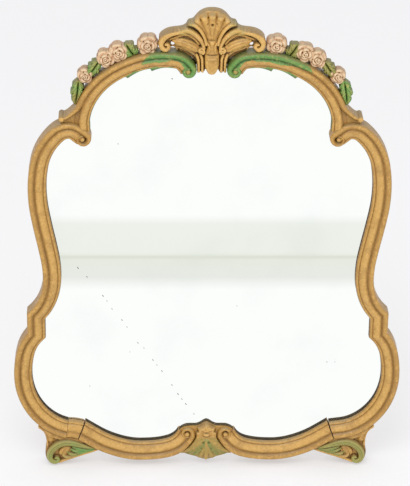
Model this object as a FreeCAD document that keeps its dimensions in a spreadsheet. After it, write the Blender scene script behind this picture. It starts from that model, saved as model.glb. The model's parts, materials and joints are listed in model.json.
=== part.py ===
import FreeCAD, Part
import math
import os
import Sketcher

# Lacquered and carved wood wall mirror, about 750 mm wide and 950 mm high.
#
# The frame is a moulding that runs round the glass in five lengths: two arches over the top, two stiles
# down the sides and one rail along the bottom. A carved shell closes the arches, a carved palmette covers
# the middle of the rail, roses and leaves sit on the outside of the arches and two scroll feet stand under
# the lower corners. The glass lies in a rebate behind, held by glued blocks and a nailed back panel, and
# two strap hangers with turning rings are screwed to the stiles.
#
# +X is to the right of someone who looks at the mirror, +Z is up and the front faces -Y. The origin is the
# centre of the back panel's rear face, which lies on the wall. Lengths are millimetres, angles degrees.

doc = FreeCAD.newDocument("mirror")
Vector = FreeCAD.Vector
FRONT = Vector(0, -1, 0)
BACK = Vector(0, 1, 0)

# Driving dimensions: name, value in millimetres, meaning.
SIZES = [
    ("half_width", 375.0, "half of the frame's width, which the paths' shares follow"),
    ("frame_height", 800.0, "height that the paths' shares follow"),
    ("stile_width", 35.0, "moulding of the stiles, outer edge to sight edge"),
    ("arch_width", 32.0, "moulding of the arches"),
    ("rail_width", 38.0, "moulding of the rail"),
    ("moulding_depth", 37.0, "back of the frame to the top of the outer roll"),
    ("eye_radius", 5.5, "boss in the middle of each volute"),
    ("eye_rise", 3.5, "top of that boss above the outer roll"),
    ("open_joint", 1.6, "gap of the opened joint between stile and rail"),
    ("seat_gap", 0.3, "clearance between a carved piece and what carries it"),
    ("overrun", 2.0, "how far a cutting shape runs past what it cuts"),
    ("cut_reach", 90.0, "size of the block that trims a length at a mitre"),
    ("ear_length", 46.0, "ear scroll at the foot of the arch, along X"),
    ("ear_height", 50.0, "ear scroll, along Z"),
    ("ear_depth", 31.0, "ear scroll, from the back of the frame"),
    ("ear_thickness", 12.0, "ear scroll, across"),
    ("glass_thickness", 4.0, "silvered glass"),
    ("glass_overlap", 6.5, "glass hidden behind the sight edge"),
    ("glass_play", 1.5, "glass edge to rebate wall"),
    ("rebate_depth", 17.0, "back of the frame to the underside of the sight lip"),
    ("panel_thickness", 5.0, "back panel"),
    ("panel_overlap", 5.0, "panel over the frame outside the rebate"),
    ("pin_side", 1.8, "square brad that nails the panel"),
    ("pin_length", 15.0, "brad"),
    ("pin_sink", 0.3, "brad's end below the rear face of the panel"),
    ("pin_clearance", 0.05, "round the brad"),
    ("block_length", 26.0, "glue block behind the glass"),
    ("block_width", 9.0, "glue block, from the rebate wall inwards"),
    ("tongue_length", 36.0, "loose tongue across a joint"),
    ("tongue_width", 10.0, "loose tongue, along the joint"),
    ("tongue_thickness", 5.0, "loose tongue"),
    ("tongue_clearance", 0.05, "round the tongue"),
    ("tongue_height", 10.0, "middle of the rail's and the crest's tongues above the back of the frame"),
    ("arch_tongue_height", 22.5, "middle of the tongue between arch and stile, likewise"),
    ("wedge_top", 34.0, "repair wedge along the sight edge"),
    ("wedge_bottom", 22.0, "repair wedge along the outer edge"),
    ("wedge_floor", 18.0, "bottom of the wedge above the back of the frame"),
    ("wedge_gap", 0.4, "open line round the wedge"),
    ("crest_half_width", 97.0, "centre line to the tip of a wing"),
    ("crest_height", 122.5, "foot of the crest to the top of its shell"),
    ("crest_drop", 9.0, "foot of the crest below the middle of the arches' volutes"),
    ("crest_ground", 25.0, "thickness of the crest's ground"),
    ("pierced_radius", 4.0, "hole through each wing"),
    ("flute_width", 14.5, "shell flute at the rim"),
    ("flute_root", 5.0, "shell flute at its root"),
    ("flute_depth", 39.0, "shell flutes, from the back of the frame"),
    ("horn_width", 6.5, "band on each side of the shell"),
    ("wing_round", 9.0, "scroll along the wing, across"),
    ("wing_depth", 34.0, "scroll along the wing, from the back of the frame"),
    ("neck_width", 15.0, "neck between shell and drop"),
    ("neck_depth", 36.0, "neck and drop, from the back of the frame"),
    ("lobe_width", 19.0, "lower lobe of the wing at its end"),
    ("lobe_depth", 32.0, "lower lobe, from the back of the frame"),
    ("pillar_width", 5.5, "small pillar beside the drop"),
    ("pillar_depth", 29.0, "small pillar, from the back of the frame"),
    ("drop_width", 25.0, "pendant drop under the shell"),
    ("drop_height", 39.0, "pendant drop"),
    ("curl_radius", 7.0, "small curl beside the neck"),
    ("core_depth", 23.0, "block of the rail behind the palmette"),
    ("core_width", 100.0, "length of that block"),
    ("core_height", 68.0, "height of that block"),
    ("core_drop", 50.0, "lowest point of that block below the middle of the rail's volutes"),
    ("palmette_width", 96.0, "palmette on the rail"),
    ("palmette_height", 92.0, "palmette with its small shell"),
    ("palmette_drop", 61.0, "lowest point of the palmette below the middle of the rail's volutes"),
    ("palmette_ground", 6.0, "thickness of the palmette's ground"),
    ("palmette_rib", 12.0, "palmette's ribs at their ends, across"),
    ("palmette_root", 3.0, "palmette's ribs at their root, across"),
    ("palmette_depth", 39.0, "palmette's ribs, from the back of the frame"),
    ("foot_width", 120.0, "scroll foot"),
    ("foot_height", 110.0, "scroll foot with the part hidden behind the moulding"),
    ("foot_drop", 75.0, "underside of the foot below the joint between stile and rail"),
    ("foot_reach", 82.0, "outer side of the foot beyond that joint"),
    ("foot_depth", 31.0, "scroll foot, from the back of the frame"),
    ("foot_roll", 9.0, "roll along the foot's upper edge, across"),
    ("foot_scroll", 7.0, "radius of the scroll that ends it"),
    ("carving_back", 4.0, "back of the roses and leaves above the back of the frame"),
    ("rose_depth", 34.0, "rose, from the back of the frame"),
    ("stem_width", 12.0, "stem between the roses of the pair"),
    ("leaf_depth", 27.0, "leaf, from the back of the frame"),
    ("leaf_edge", 5.0, "fall of the leaf from its rib to its edge"),
    ("top_rose", 20.0, "radius of the rose beside the crest"),
    ("pair_rose", 17.0, "radius of each rose of the pair"),
    ("low_rose", 15.5, "radius of the lowest rose"),
    ("bud_leaf_length", 40.0, "leaf between the top rose and the pair"),
    ("garland_leaf_length", 44.0, "leaf between the pair and the lowest rose"),
    ("end_leaf_length", 50.0, "leaf at the garland's lower end"),
    ("strap_width", 10.0, "strap of the hanger"),
    ("strap_length", 48.0, "strap from the ring's axis to its lower end"),
    ("strap_thickness", 1.0, "strap of the hanger"),
    ("strap_inset", 10.5, "middle of the strap from the frame's outer edge"),
    ("knuckle_radius", 2.2, "outside of the rolled knuckle"),
    ("knuckle_height", 2.4, "ring's axis behind the frame's back"),
    ("ring_wire", 2.4, "bar of the ring that turns in the knuckle"),
    ("ring_clearance", 0.06, "radial, between bar and knuckle"),
    ("ring_arm", 2.2, "square arm of the ring"),
    ("ring_radius", 7.6, "middle of the ring to the middle of its arm"),
    ("ring_straight", 8.0, "straight part of the arms"),
    ("screw_radius", 1.5, "hanger screw"),
    ("screw_clearance", 0.05, "round the screw"),
    ("screw_head", 3.0, "radius of the screw's head"),
    ("screw_head_height", 1.4, "height of the screw's head"),
    ("screw_length", 14.0, "hanger screw under its head"),
    ("first_screw", 25.0, "upper screw below the ring's axis"),
    ("screw_pitch", 14.0, "between the two screws of a strap"),
]

sheet = doc.addObject("Spreadsheet::Sheet", "sizes")
for row, (alias, value, meaning) in enumerate(SIZES, 1):
    sheet.set(f"A{row}", alias)
    sheet.set(f"B{row}", str(value))
    sheet.set(f"C{row}", meaning)
    sheet.setAlias(f"B{row}", alias)
doc.recompute()

# Headings are directions in the plane of the frame: 0 is +X, 90 is up. They are true where half_width is the
# share of frame_height below, and turn with the frame's proportions elsewhere. A path is a list of nodes
# (x share of half_width, z share of frame_height, heading in, heading out) for the right side, and the
# glass lies to the right of someone who walks along it.
DRAWN_WIDTH_SHARE = 0.46875
ARCH_SHARES = [
    (0.115, 0.4450, None, 60), (0.171, 0.4675, 10, 10), (0.280, 0.4688, -6, -6), (0.440, 0.4450, -27, -27),
    (0.563, 0.4000, -50, -50), (0.635, 0.3288, -80, -80), (0.636, 0.2950, -90, None),
]
STILE_UPPER_SHARES = [
    (0.632, 0.2775, None, 38), (0.699, 0.2956, 0, 0), (0.797, 0.2638, -54, -54), (0.860, 0.1475, -90, -90),
    (0.823, 0.0225, -102, -102), (0.792, -0.0800, -90, -90), (0.876, -0.1825, -45, None),
]
STILE_BREAK_SHARES = [(0.876, -0.1825, None, -90), (0.876, -0.2338, -90, None)]
STILE_LOWER_SHARES = [
    (0.876, -0.2338, None, -45), (0.948, -0.3400, -90, -90), (0.885, -0.4363, -125, -125),
    (0.757, -0.4850, -158, -158), (0.651, -0.4950, -172, None),
]
RAIL_SHARES = [
    (0.651, -0.4925, None, -146), (0.507, -0.5325, -157, -157), (0.341, -0.5500, -180, -180),
    (0.192, -0.5413, 163, 163), (0.101, -0.5050, 115, None),
]

# Section of the moulding: shares of its width from the outer edge, and of its depth from the back.
SECTION_SHARES = [
    (0.0, 0.0), (0.0, 0.85), (0.10, 1.0), (0.26, 1.0), (0.39, 0.78), (0.53, 0.89), (0.79, 0.69), (0.92, 0.75),
    (1.0, 0.63), (1.0, 0.0),
]
HALF_SECTION_SHARES = [pair for pair in SECTION_SHARES if pair[0] < 0.5] + [(0.5, 0.87), (0.5, 0.0)]

BOSS_SIDES = 12

# Across and up shares of a carved rib: flat sides and a rounded top.
RIB_SHARES = [(-0.5, 0.0), (-0.5, 0.80), (-0.22, 1.0), (0.22, 1.0), (0.5, 0.80), (0.5, 0.0)]

# Ear scroll from the end of the arch's path: shares of its length and height, and headings.
EAR_SHARES = [(0.22, 0.98, None, -75), (0.55, 0.60, -25, -25), (0.85, 0.51, 15, None)]

# Crest, right half: shares of its half width and of its height above its foot.
CREST_SHARES = [
    (0.0, 0.04), (0.28, 0.04), (0.28, 0.21), (0.45, 0.335), (0.62, 0.385), (0.77, 0.42), (0.80, 0.31), (0.95, 0.31),
    (1.0, 0.45), (1.0, 0.53), (0.95, 0.60), (0.87, 0.655), (0.62, 0.69), (0.53, 0.715), (0.455, 0.80), (0.40, 0.81),
    (0.335, 0.83), (0.27, 0.92), (0.16, 0.975), (0.0, 1.0),
]
WING_SHARES = [
    (0.165, 0.45, None, 78), (0.33, 0.65, 45, 45), (0.48, 0.69, 0, 0), (0.87, 0.60, -42, -42),
    (0.935, 0.53, -85, -85), (0.86, 0.455, -165, None),
]
HORN_SHARES = [(0.125, 0.54, None, 70), (0.40, 0.79, 30, None)]
PIERCED_SHARES = (0.73, 0.49)
CREST_TONGUE_SHARE = 0.875
PILLAR_SHARES = (0.66, 0.93)
PILLAR_TOP_SHARE = 0.21

# Shell flutes: heading, and length as a share of the height from their root to the crest's top. Lower lobe
# of the wing: where it starts, its heading, and its length as a share of the crest's half width.
SHELL_ROOT_SHARE = 0.49
SHELL_SHARES = [(58, 0.82), (74, 0.93), (90, 0.945), (106, 0.93), (122, 0.82)]
LOBE_SHARES = (0.18, 0.40, 24, 0.55)
DROP_SHARES = [(-0.47, 1.0), (0.47, 1.0), (0.5, 0.5), (0.34, 0.14), (0.0, 0.0), (-0.34, 0.14), (-0.5, 0.5)]
DROP_TOP_SHARE = 0.4

# Palmette and the rail's block behind it: shares of their widths from the middle, and of their heights.
CORE_SHARES = [(0.18, 0.0), (0.5, 0.10), (0.30, 0.70), (0.17, 1.0)]
PALMETTE_SHARES = [(0.0, 0.0), (0.28, 0.08), (0.44, 0.28), (0.5, 0.50), (0.30, 0.60), (0.14, 0.70), (0.14, 0.92)]
PALMETTE_HINGE_SHARE = 0.62
PALMETTE_RIBS_SHARES = [(-158, 0.47), (-133, 0.47), (-110, 0.50), (-90, 0.52), (-70, 0.50), (-47, 0.47), (-22, 0.47)]
PALMETTE_LOBES_SHARES = [(60, 0.28), (90, 0.32), (120, 0.28)]

# Foot: shares of its width inwards from its outer side, and of its height, with headings.
FOOT_SHARES = [
    (-0.10, 0.94, 20, -140), (0.115, 0.50, -95, -95), (0.095, 0.22, -92, -92), (0.235, 0.0, 180, 180),
    (0.62, 0.19, 157, 157), (0.96, 0.33, 158, 90), (0.96, 0.45, 90, 20),
]
FOOT_ROLL_SHARES = [
    (0.85, 0.22, None, 25), (0.45, 0.38, -8, -8), (0.225, 0.25, -60, -60), (0.19, 0.09, -95, None),
]

# Roses and leaves: where their middles lie, as a share of the garland's run along the arch and as a share of
# the arch's width outside its middle line. A leaf also has its turn from the arch's heading and its width
# as a share of its length. The top rose lies against the crest.
ROSES = ("top_rose", "pair_rose", "low_rose")
ROSE_SHARES = {"pair_rose": [(0.118, 0.95), (0.253, 0.98)], "low_rose": [(0.477, 0.93)]}
TOP_ROSE_SHARE = 0.883
LEAF_SHARES = {"bud_leaf": (0.021, 0.87, 76, 0.62), "garland_leaf": (0.389, 0.865, -16, 0.62),
               "end_leaf": (0.637, 0.70, -21, 0.58)}
PETALS = 5
PETAL_SHARES = [(0.0, 0.80), (0.3, 0.98), (0.7, 0.98)]
ROSE_RING_SHARES = [(1.0, 0.62, 0.80), (0.70, 0.82, 0.92), (0.38, 0.90, 1.0)]
ROSE_BACK_SHARE = 0.75
ROSE_TOP_SHARE = 0.7
LEAF_RIB_SHARE = 0.2
LEAF_OUTLINE_SHARES = [
    (-0.5, 0.0), (-0.34, 0.34), (-0.22, 0.30), (-0.06, 0.5), (0.06, 0.40), (0.22, 0.42), (0.30, 0.24), (0.5, 0.0),
    (0.30, -0.24), (0.22, -0.42), (0.06, -0.40), (-0.06, -0.5), (-0.22, -0.30), (-0.34, -0.34),
]


def size(alias):
    """Reads one driving dimension from the sheet."""
    return float(sheet.get(alias))


def plane_y(height):
    """Y of a height above the back of the frame."""
    return -size("panel_thickness") - height


def spot(x, z, height=0.0):
    """Point of the frame's plane at a height above its back."""
    return Vector(x, plane_y(height), z)


def along(heading):
    """Unit vector (x, z) of a heading."""
    return math.cos(math.radians(heading)), math.sin(math.radians(heading))


def aside(x, z, heading, distance):
    """Point at a distance to the right of a heading."""
    dx, dz = along(heading)
    return x + dz * distance, z - dx * distance


def ahead(x, z, heading, distance):
    """Point at a distance along a heading."""
    dx, dz = along(heading)
    return x + dx * distance, z + dz * distance


def turned(heading):
    """Heading of the drawing, turned with the frame's proportions."""
    if heading is None:
        return None
    dx, dz = along(heading)
    return math.degrees(math.atan2(dz * DRAWN_WIDTH_SHARE * size("frame_height"), dx * size("half_width")))


def place(shares):
    """Turns a path's shares into nodes (x, z, heading in, heading out) with lengths."""
    wide, tall = size("half_width"), size("frame_height")
    return [(x * wide, z * tall, turned(inward), turned(outward)) for x, z, inward, outward in shares]


def biarc(first, second):
    """Two tangent arcs from node to node, each as (x, z, heading, curvature, length)."""
    start, end, heading = first[:2], second[:2], first[3]
    t0, t1 = along(heading), along(second[2])
    vx, vz = end[0] - start[0], end[1] - start[1]
    spread = 2 * (1 - t0[0] * t1[0] - t0[1] * t1[1])
    reach = vx * (t0[0] + t1[0]) + vz * (t0[1] + t1[1])
    chord = vx * vx + vz * vz
    if spread < 1e-9:
        arm = chord / (2 * reach)
    else:
        arm = (math.sqrt(reach * reach + spread * chord) - reach) / spread
    middle = ((start[0] + end[0] + arm * (t0[0] - t1[0])) / 2, (start[1] + end[1] + arm * (t0[1] - t1[1])) / 2)
    arcs = []
    for a, b in ((start, middle), (middle, end)):
        chord_x, chord_z = b[0] - a[0], b[1] - a[1]
        half_turn = math.degrees(math.atan2(chord_z, chord_x)) - heading
        half_turn = (half_turn + 180) % 360 - 180
        bend = math.radians(half_turn)
        length = math.hypot(chord_x, chord_z)
        if abs(bend) > 1e-6:
            length = length * bend / math.sin(bend)
        arcs.append((a[0], a[1], heading, 2 * bend / length, length))
        heading += 2 * half_turn
    return arcs


def path_arcs(nodes):
    """All arcs of a path."""
    return [arc for first, second in zip(nodes, nodes[1:]) for arc in biarc(first, second)]


def is_straight(curvature, length):
    """Tells whether an arc is a line."""
    return abs(curvature) * length < 1e-4


def arc_point(arc, distance):
    """Point and heading at a distance along one arc."""
    x, z, heading, curvature, length = arc
    half_turn = curvature * distance / 2
    chord = distance if is_straight(curvature, length) else 2 * math.sin(half_turn) / curvature
    px, pz = ahead(x, z, heading + math.degrees(half_turn), chord)
    return px, pz, heading + 2 * math.degrees(half_turn)


def path_length(nodes):
    """Length of a path."""
    return sum(arc[4] for arc in path_arcs(nodes))


def arc_edge(arc, side=1):
    """Edge of one arc of a path, on the right side or mirrored to the left."""
    curvature, length = arc[3:]
    points = []
    for distance in (0, length / 2, length):
        px, pz, _ = arc_point(arc, distance)
        points.append(spot(side * px, pz))
    if is_straight(curvature, length):
        return Part.makeLine(points[0], points[2])
    return Part.Arc(*points).toShape()


def shifted(nodes, distance):
    """Path moved to its right by a distance, its corners mitred."""
    moved = []
    for x, z, inward, outward in nodes:
        first = outward if inward is None else inward
        last = inward if outward is None else outward
        half_turn = math.radians(last - first) / 2
        px, pz = aside(x, z, (first + last) / 2, distance / math.cos(half_turn))
        moved.append((px, pz, inward, outward))
    return moved


def extended(nodes, at_start, at_end):
    """Path with a straight run added before its first node and after its last."""
    nodes = list(nodes)
    if at_start:
        x, z, _, heading = nodes[0]
        nodes[0] = (x, z, heading, heading)
        nodes.insert(0, ahead(x, z, heading, -at_start) + (None, heading))
    if at_end:
        x, z, heading, _ = nodes[-1]
        nodes[-1] = (x, z, heading, heading)
        nodes.append(ahead(x, z, heading, at_end) + (heading, None))
    return nodes


def section_face(x, z, heading, outline):
    """Flat face that stands across the path: outline points are (distance right of the path, height)."""
    points = [spot(*aside(x, z, heading, offset), height) for offset, height in outline]
    return Part.Face(Part.makePolygon(points + points[:1]))


def joined(shapes):
    """One solid from shapes that meet or overlap, its split faces merged."""
    whole = shapes[0].multiFuse(shapes[1:]) if len(shapes) > 1 else shapes[0]
    return whole.removeSplitter()


def swept(nodes, outline):
    """Solid of an outline carried along a path, arc by arc about each arc's own centre."""
    pieces = []
    for x, z, heading, curvature, length in path_arcs(nodes):
        face = section_face(x, z, heading, outline)
        if is_straight(curvature, length):
            dx, dz = along(heading)
            pieces.append(face.extrude(Vector(dx * length, 0, dz * length)))
            continue
        cx, cz = aside(x, z, heading, -1 / curvature)
        axis = FRONT if curvature > 0 else BACK
        pieces.append(face.revolve(spot(cx, cz), axis, math.degrees(abs(curvature) * length)))
    return joined(pieces)


def block_beyond(x, z, heading):
    """Block whose near face stands across a heading at a point, used to trim what lies beyond."""
    reach = size("cut_reach")
    block = Part.makeBox(reach, 2 * reach, 2 * reach, Vector(0, -reach, -reach))
    block.rotate(Vector(0, 0, 0), FRONT, heading)
    block.translate(Vector(x, 0, z))
    return block


def profile(width, shares):
    """Section of the moulding about its middle line."""
    deep = size("moulding_depth")
    return [((across - 0.5) * width, up * deep) for across, up in shares]


def envelope(width, grow):
    """Rectangle round the section, grown sideways and run past its front and back."""
    half = width / 2 + grow
    low, high = -size("overrun"), 2 * size("moulding_depth")
    return [(-half, low), (-half, high), (half, high), (half, low)]


def rib(width, depth):
    """Section of a carved rib about its middle line."""
    return [(across * width, up * depth) for across, up in RIB_SHARES]


def disc(x, z, radius, low, high):
    """Cylinder between two heights."""
    return Part.makeCylinder(radius, high - low, spot(x, z, low), FRONT)


def circle_points(x, z, radius, height, sides):
    """Corners of an even polygon in the plane of the frame."""
    return [spot(*ahead(x, z, 360 * i / sides, radius), height) for i in range(sides)]


def skin(layers):
    """Solid between closed outlines with as many points each, its sides made of triangles."""
    faces = [Part.Face(Part.makePolygon(layer + layer[:1])) for layer in (layers[0], layers[-1])]
    for lower, upper in zip(layers, layers[1:]):
        for i, corner in enumerate(lower):
            after = (i + 1) % len(lower)
            for triangle in ((corner, lower[after], upper[after]), (corner, upper[after], upper[i])):
                faces.append(Part.Face(Part.makePolygon(list(triangle) + [triangle[0]])))
    solid = Part.makeSolid(Part.makeShell(faces))
    if solid.Volume < 0:
        solid.reverse()
    return solid.removeSplitter()


def boss(x, z, radius, low, high):
    """Faceted round boss whose upper third tapers to half its radius."""
    shoulder = high - (high - low) / 3
    return skin([circle_points(x, z, radius, low, BOSS_SIDES), circle_points(x, z, radius, shoulder, BOSS_SIDES),
                 circle_points(x, z, radius / 2, high, BOSS_SIDES)])


def eye(x, z):
    """Boss in the middle of a volute."""
    radius, depth, rise = size("eye_radius"), size("moulding_depth"), size("eye_rise")
    return [boss(x, z, radius, depth - 2 * rise, depth + rise)]


def volute(node, width, turn_axis):
    """Half turn of the outer half of the section about an end of its middle line, with its eye."""
    x, z = node[:2]
    heading = node[3] if node[2] is None else node[2]
    half = section_face(x, z, heading, profile(width, HALF_SECTION_SHARES))
    return [half.revolve(spot(x, z), turn_axis, 180)] + eye(x, z)


def prism(wire, low, high):
    """Solid over a closed outline in the plane of the frame's back, between two heights."""
    face = Part.Face(wire)
    face.translate(FRONT * low)
    return face.extrude(FRONT * (high - low))


def loop_wire(nodes):
    """Closed outline of arcs through nodes given all the way round."""
    return Part.Wire([arc_edge(arc) for arc in path_arcs(nodes + nodes[:1]) if arc[4] > 1e-6])


def polygon(points, height=0.0):
    """Closed outline of straight edges at a height."""
    return Part.makePolygon([spot(x, z, height) for x, z in points + points[:1]])


def layer(points, height):
    """Outline's points lifted to a height."""
    return [spot(x, z, height) for x, z in points]


def narrowed(points, centre, share):
    """Outline drawn in towards a centre."""
    return [(centre[0] + (x - centre[0]) * share, centre[1] + (z - centre[1]) * share) for x, z in points]


def flute(x, z, heading, length, root, width, low, high):
    """Tapered rib that widens and rises from its root, and ends in a blunt round."""
    stations = ((0, root, low + root), (length - width / 2, width, high), (length, width / 2, high - width / 4))
    layers = []
    for distance, across, top in stations:
        px, pz = ahead(x, z, heading, distance)
        section = [(share * across, low + up * (top - low)) for share, up in RIB_SHARES]
        layers.append([spot(*aside(px, pz, heading, offset), height) for offset, height in section])
    return skin(layers)


def mirrored_points(points):
    """Outline of both halves from the right half's points, from the lowest point round."""
    left = [(-x, z) for x, z in reversed(points) if x > 0]
    return points + left


# The closed line that the rebate, the glass and the panel follow. It runs at a distance inside the sight
# edge, which is less than nothing where it lies under the moulding, and straight across behind the crest,
# behind the corner where arch and stile meet, and behind the rail's middle.
def ring_runs(inset):
    """Nodes of that line on the right side: one run along the arch, one down the stile and the rail."""
    arch = shifted(place(ARCH_SHARES)[1:5], size("arch_width") / 2 + inset)
    upper, lower, rail = place(STILE_UPPER_SHARES), place(STILE_LOWER_SHARES), place(RAIL_SHARES)
    first, second = place(STILE_BREAK_SHARES)
    corners = [first[:2] + (upper[-1][2], first[3]), second[:2] + (second[2], lower[0][3])]
    stile = shifted(upper[2:6] + corners + lower[1:4], size("stile_width") / 2 + inset)
    knee = rail[0][:2] + (lower[-1][2], rail[0][3])
    return arch, stile + shifted([knee] + rail[1:4], size("rail_width") / 2 + inset)


def ring_wire(inset):
    """Closed outline along that line."""
    runs = ring_runs(inset)
    edges = []
    for side in (1, -1):
        for run in runs:
            edges += [arc_edge(arc, side) for arc in path_arcs(run)]
        corner, start = runs[0][-1], runs[1][0]
        edges.append(Part.makeLine(spot(side * corner[0], corner[1]), spot(side * start[0], start[1])))
    for x, z, _, _ in (runs[0][0], runs[1][-1]):
        edges.append(Part.makeLine(spot(-x, z), spot(x, z)))
    return Part.Wire(Part.sortEdges(edges)[0])


def rebate_inset():
    """Rebate wall from the sight edge."""
    return -size("glass_overlap") - size("glass_play")


def rebate():
    """Room for the glass and its blocks, cut into the back of the frame."""
    return prism(ring_wire(rebate_inset()), -size("overrun"), size("rebate_depth"))


def pin_places():
    """Where the brads go: every third node of the line midway in the panel's overlap."""
    arch, stile = ring_runs(rebate_inset() - size("panel_overlap") / 2)
    nodes = (arch + stile)[::3]
    return [(side * x, z) for side in (1, -1) for x, z, _, _ in nodes]


def pin_holes():
    """Holes of the brads through the panel and into the frame."""
    side = size("pin_side") + 2 * size("pin_clearance")
    deep = size("pin_sink") + size("pin_length") + size("pin_clearance")
    long = deep + size("overrun")
    return Part.makeCompound([Part.makeBox(side, long, side, Vector(x - side / 2, -deep, z - side / 2))
                              for x, z in pin_places()])


def knee_joint(gap):
    """Point and heading of the joint between stile and rail, a gap further on."""
    x, z, inward, _ = place(STILE_LOWER_SHARES)[-1]
    heading = (inward + place(RAIL_SHARES)[0][3]) / 2
    return ahead(x, z, heading, gap) + (heading,)


def tongue_places():
    """Middle point, heading and height of each loose tongue on the right side."""
    x, z, heading = knee_joint(0)
    arch_x, arch_z = place(ARCH_SHARES)[-1][:2]
    crest_x = size("crest_half_width") * CREST_TONGUE_SHARE
    crest_z = place(ARCH_SHARES)[2][1] + size("arch_width") / 2
    return [(x, z, heading, size("tongue_height")), (arch_x, arch_z, -90, size("arch_tongue_height")),
            (crest_x, crest_z, 90, size("tongue_height"))]


def tongues(grow):
    """Loose tongues of all joints on both sides, grown by a distance."""
    half, wide, thick = (size("tongue_" + part) / 2 + grow for part in ("length", "width", "thickness"))
    solids = []
    for x, z, heading, height in tongue_places():
        corners = [aside(*ahead(x, z, heading, a), heading, b)
                   for a, b in ((-half, -wide), (half, -wide), (half, wide), (-half, wide))]
        solids += both_sides(prism(polygon(corners), height - thick, height + thick))
    return Part.makeCompound(solids)


def hanger_place():
    """Ring's axis on the right stile, where it is widest above the frame's middle: x and z."""
    x, z = max(node for node in place(STILE_UPPER_SHARES) if node[1] > 0)[:2]
    return x + size("stile_width") / 2 - size("strap_inset"), z


def screw_places():
    """x and z of the four hanger screws."""
    x, z = hanger_place()
    levels = (z - size("first_screw"), z - size("first_screw") - size("screw_pitch"))
    return [(side * x, level) for side in (1, -1) for level in levels]


def screw_holes():
    """Pilot holes of the hanger screws in the stiles."""
    radius = size("screw_radius") + size("screw_clearance")
    deep = size("screw_length") - size("strap_thickness") + size("screw_clearance")
    holes = [disc(x, z, radius, -size("overrun"), deep) for x, z in screw_places()]
    return Part.makeCompound(holes)


def stile_solid():
    """Right stile: upper length with its volute, the break, and the lower length down to the joint."""
    width = size("stile_width")
    outline = profile(width, SECTION_SHARES)
    upper, middle, lower = (place(s) for s in (STILE_UPPER_SHARES, STILE_BREAK_SHARES, STILE_LOWER_SHARES))
    first = middle[0][:2] + ((upper[-1][2] + middle[0][3]) / 2,)
    second = middle[1][:2] + ((middle[1][2] + lower[0][3]) / 2,)
    top = swept(extended(upper, 0, width / 2), outline).cut(block_beyond(*first))
    core = swept(extended(middle, width / 2, width / 2), outline)
    core = core.cut(block_beyond(first[0], first[1], first[2] + 180)).cut(block_beyond(*second))
    bottom = swept(extended(lower, width / 2, width / 2), outline)
    bottom = bottom.cut(block_beyond(second[0], second[1], second[2] + 180))
    bottom = bottom.cut(block_beyond(*knee_joint(-size("open_joint") / 2)))
    return joined([top, core, bottom] + volute(upper[0], width, FRONT))


def stile_envelope(nodes):
    """Room that a stretch of the stile takes, grown by the seat gap."""
    return swept(nodes, envelope(size("stile_width"), size("seat_gap")))


def upper_stile_envelope():
    """Room of the stile's volute and the stretch beside it."""
    nodes = place(STILE_UPPER_SHARES)
    radius = size("stile_width") / 2 + size("seat_gap")
    ring = disc(nodes[0][0], nodes[0][1], radius, -size("overrun"), 2 * size("moulding_depth"))
    return stile_envelope(nodes[:3]).fuse(ring)


def ear_nodes():
    """Path of the ear scroll at the foot of the right arch."""
    foot_x, foot_z = place(ARCH_SHARES)[-1][:2]
    length, height = size("ear_length"), size("ear_height")
    return [(foot_x + x * length, foot_z + z * height, a, b) for x, z, a, b in EAR_SHARES]


def arch_solid():
    """Right arch: its volute beside the crest, its ear, and its foot scribed to the stile."""
    width, thick = size("arch_width"), size("ear_thickness")
    nodes, ear = place(ARCH_SHARES), ear_nodes()
    tip = boss(ear[-1][0], ear[-1][1], thick / 2, 0, size("ear_depth") + size("eye_rise"))
    pieces = [swept(nodes, profile(width, SECTION_SHARES)), swept(ear, rib(thick, size("ear_depth"))), tip]
    return joined(pieces + volute(nodes[0], width, FRONT)).cut(upper_stile_envelope())


def arch_envelope():
    """Room that the right arch takes, grown by the seat gap."""
    nodes = place(ARCH_SHARES)
    band = swept(nodes, envelope(size("arch_width"), size("seat_gap")))
    radius = size("arch_width") / 2 + size("seat_gap")
    return band.fuse(disc(nodes[0][0], nodes[0][1], radius, -size("overrun"), 2 * size("moulding_depth")))


def both_sides(shape):
    """Shape and its mirror image."""
    return [shape, shape.mirror(Vector(0, 0, 0), Vector(1, 0, 0))]


def below_rail(drop):
    """Z of a distance below the middle of the rail's volutes."""
    return place(RAIL_SHARES)[-1][1] - size(drop)


def palmette_outline(grow=0.0):
    """Outline of the palmette, grown by a distance on each side."""
    wide, tall = size("palmette_width") + 2 * grow, size("palmette_height") + 2 * grow
    base = below_rail("palmette_drop") - grow
    return mirrored_points([(x * wide, base + z * tall) for x, z in PALMETTE_SHARES])


def rail_solid():
    """Bottom rail: two runs with volutes, and the block between them that carries the palmette."""
    width = size("rail_width")
    nodes = place(RAIL_SHARES)
    run = swept(extended(nodes, width / 2, 0), profile(width, SECTION_SHARES))
    x, z, heading = knee_joint(size("open_joint") / 2)
    run = joined([run.cut(block_beyond(x, z, heading + 180))] + volute(nodes[-1], width, BACK))
    wide, tall, base = size("core_width"), size("core_height"), below_rail("core_drop")
    points = mirrored_points([(x * wide, base + z * tall) for x, z in CORE_SHARES])
    core = prism(polygon(points), 0, size("core_depth"))
    seat = prism(polygon(palmette_outline(size("seat_gap"))), size("core_depth"), 2 * size("moulding_depth"))
    return joined(both_sides(run) + [core]).cut(seat)


def palmette_solid():
    """Palmette: ribs that fan down from a hinge, and a small shell of three lobes over it."""
    tall, width, root = size("palmette_height"), size("palmette_rib"), size("palmette_root")
    low, high = size("core_depth") + size("seat_gap"), size("palmette_depth")
    hinge = below_rail("palmette_drop") + PALMETTE_HINGE_SHARE * tall
    pieces = [prism(polygon(palmette_outline()), low, low + size("palmette_ground"))]
    for heading, share in PALMETTE_RIBS_SHARES + PALMETTE_LOBES_SHARES:
        pieces.append(flute(0, hinge, heading, share * tall, root, width, low, high))
    room = prism(polygon(palmette_outline()), low, 2 * size("moulding_depth"))
    return joined(pieces).common(room)


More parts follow.
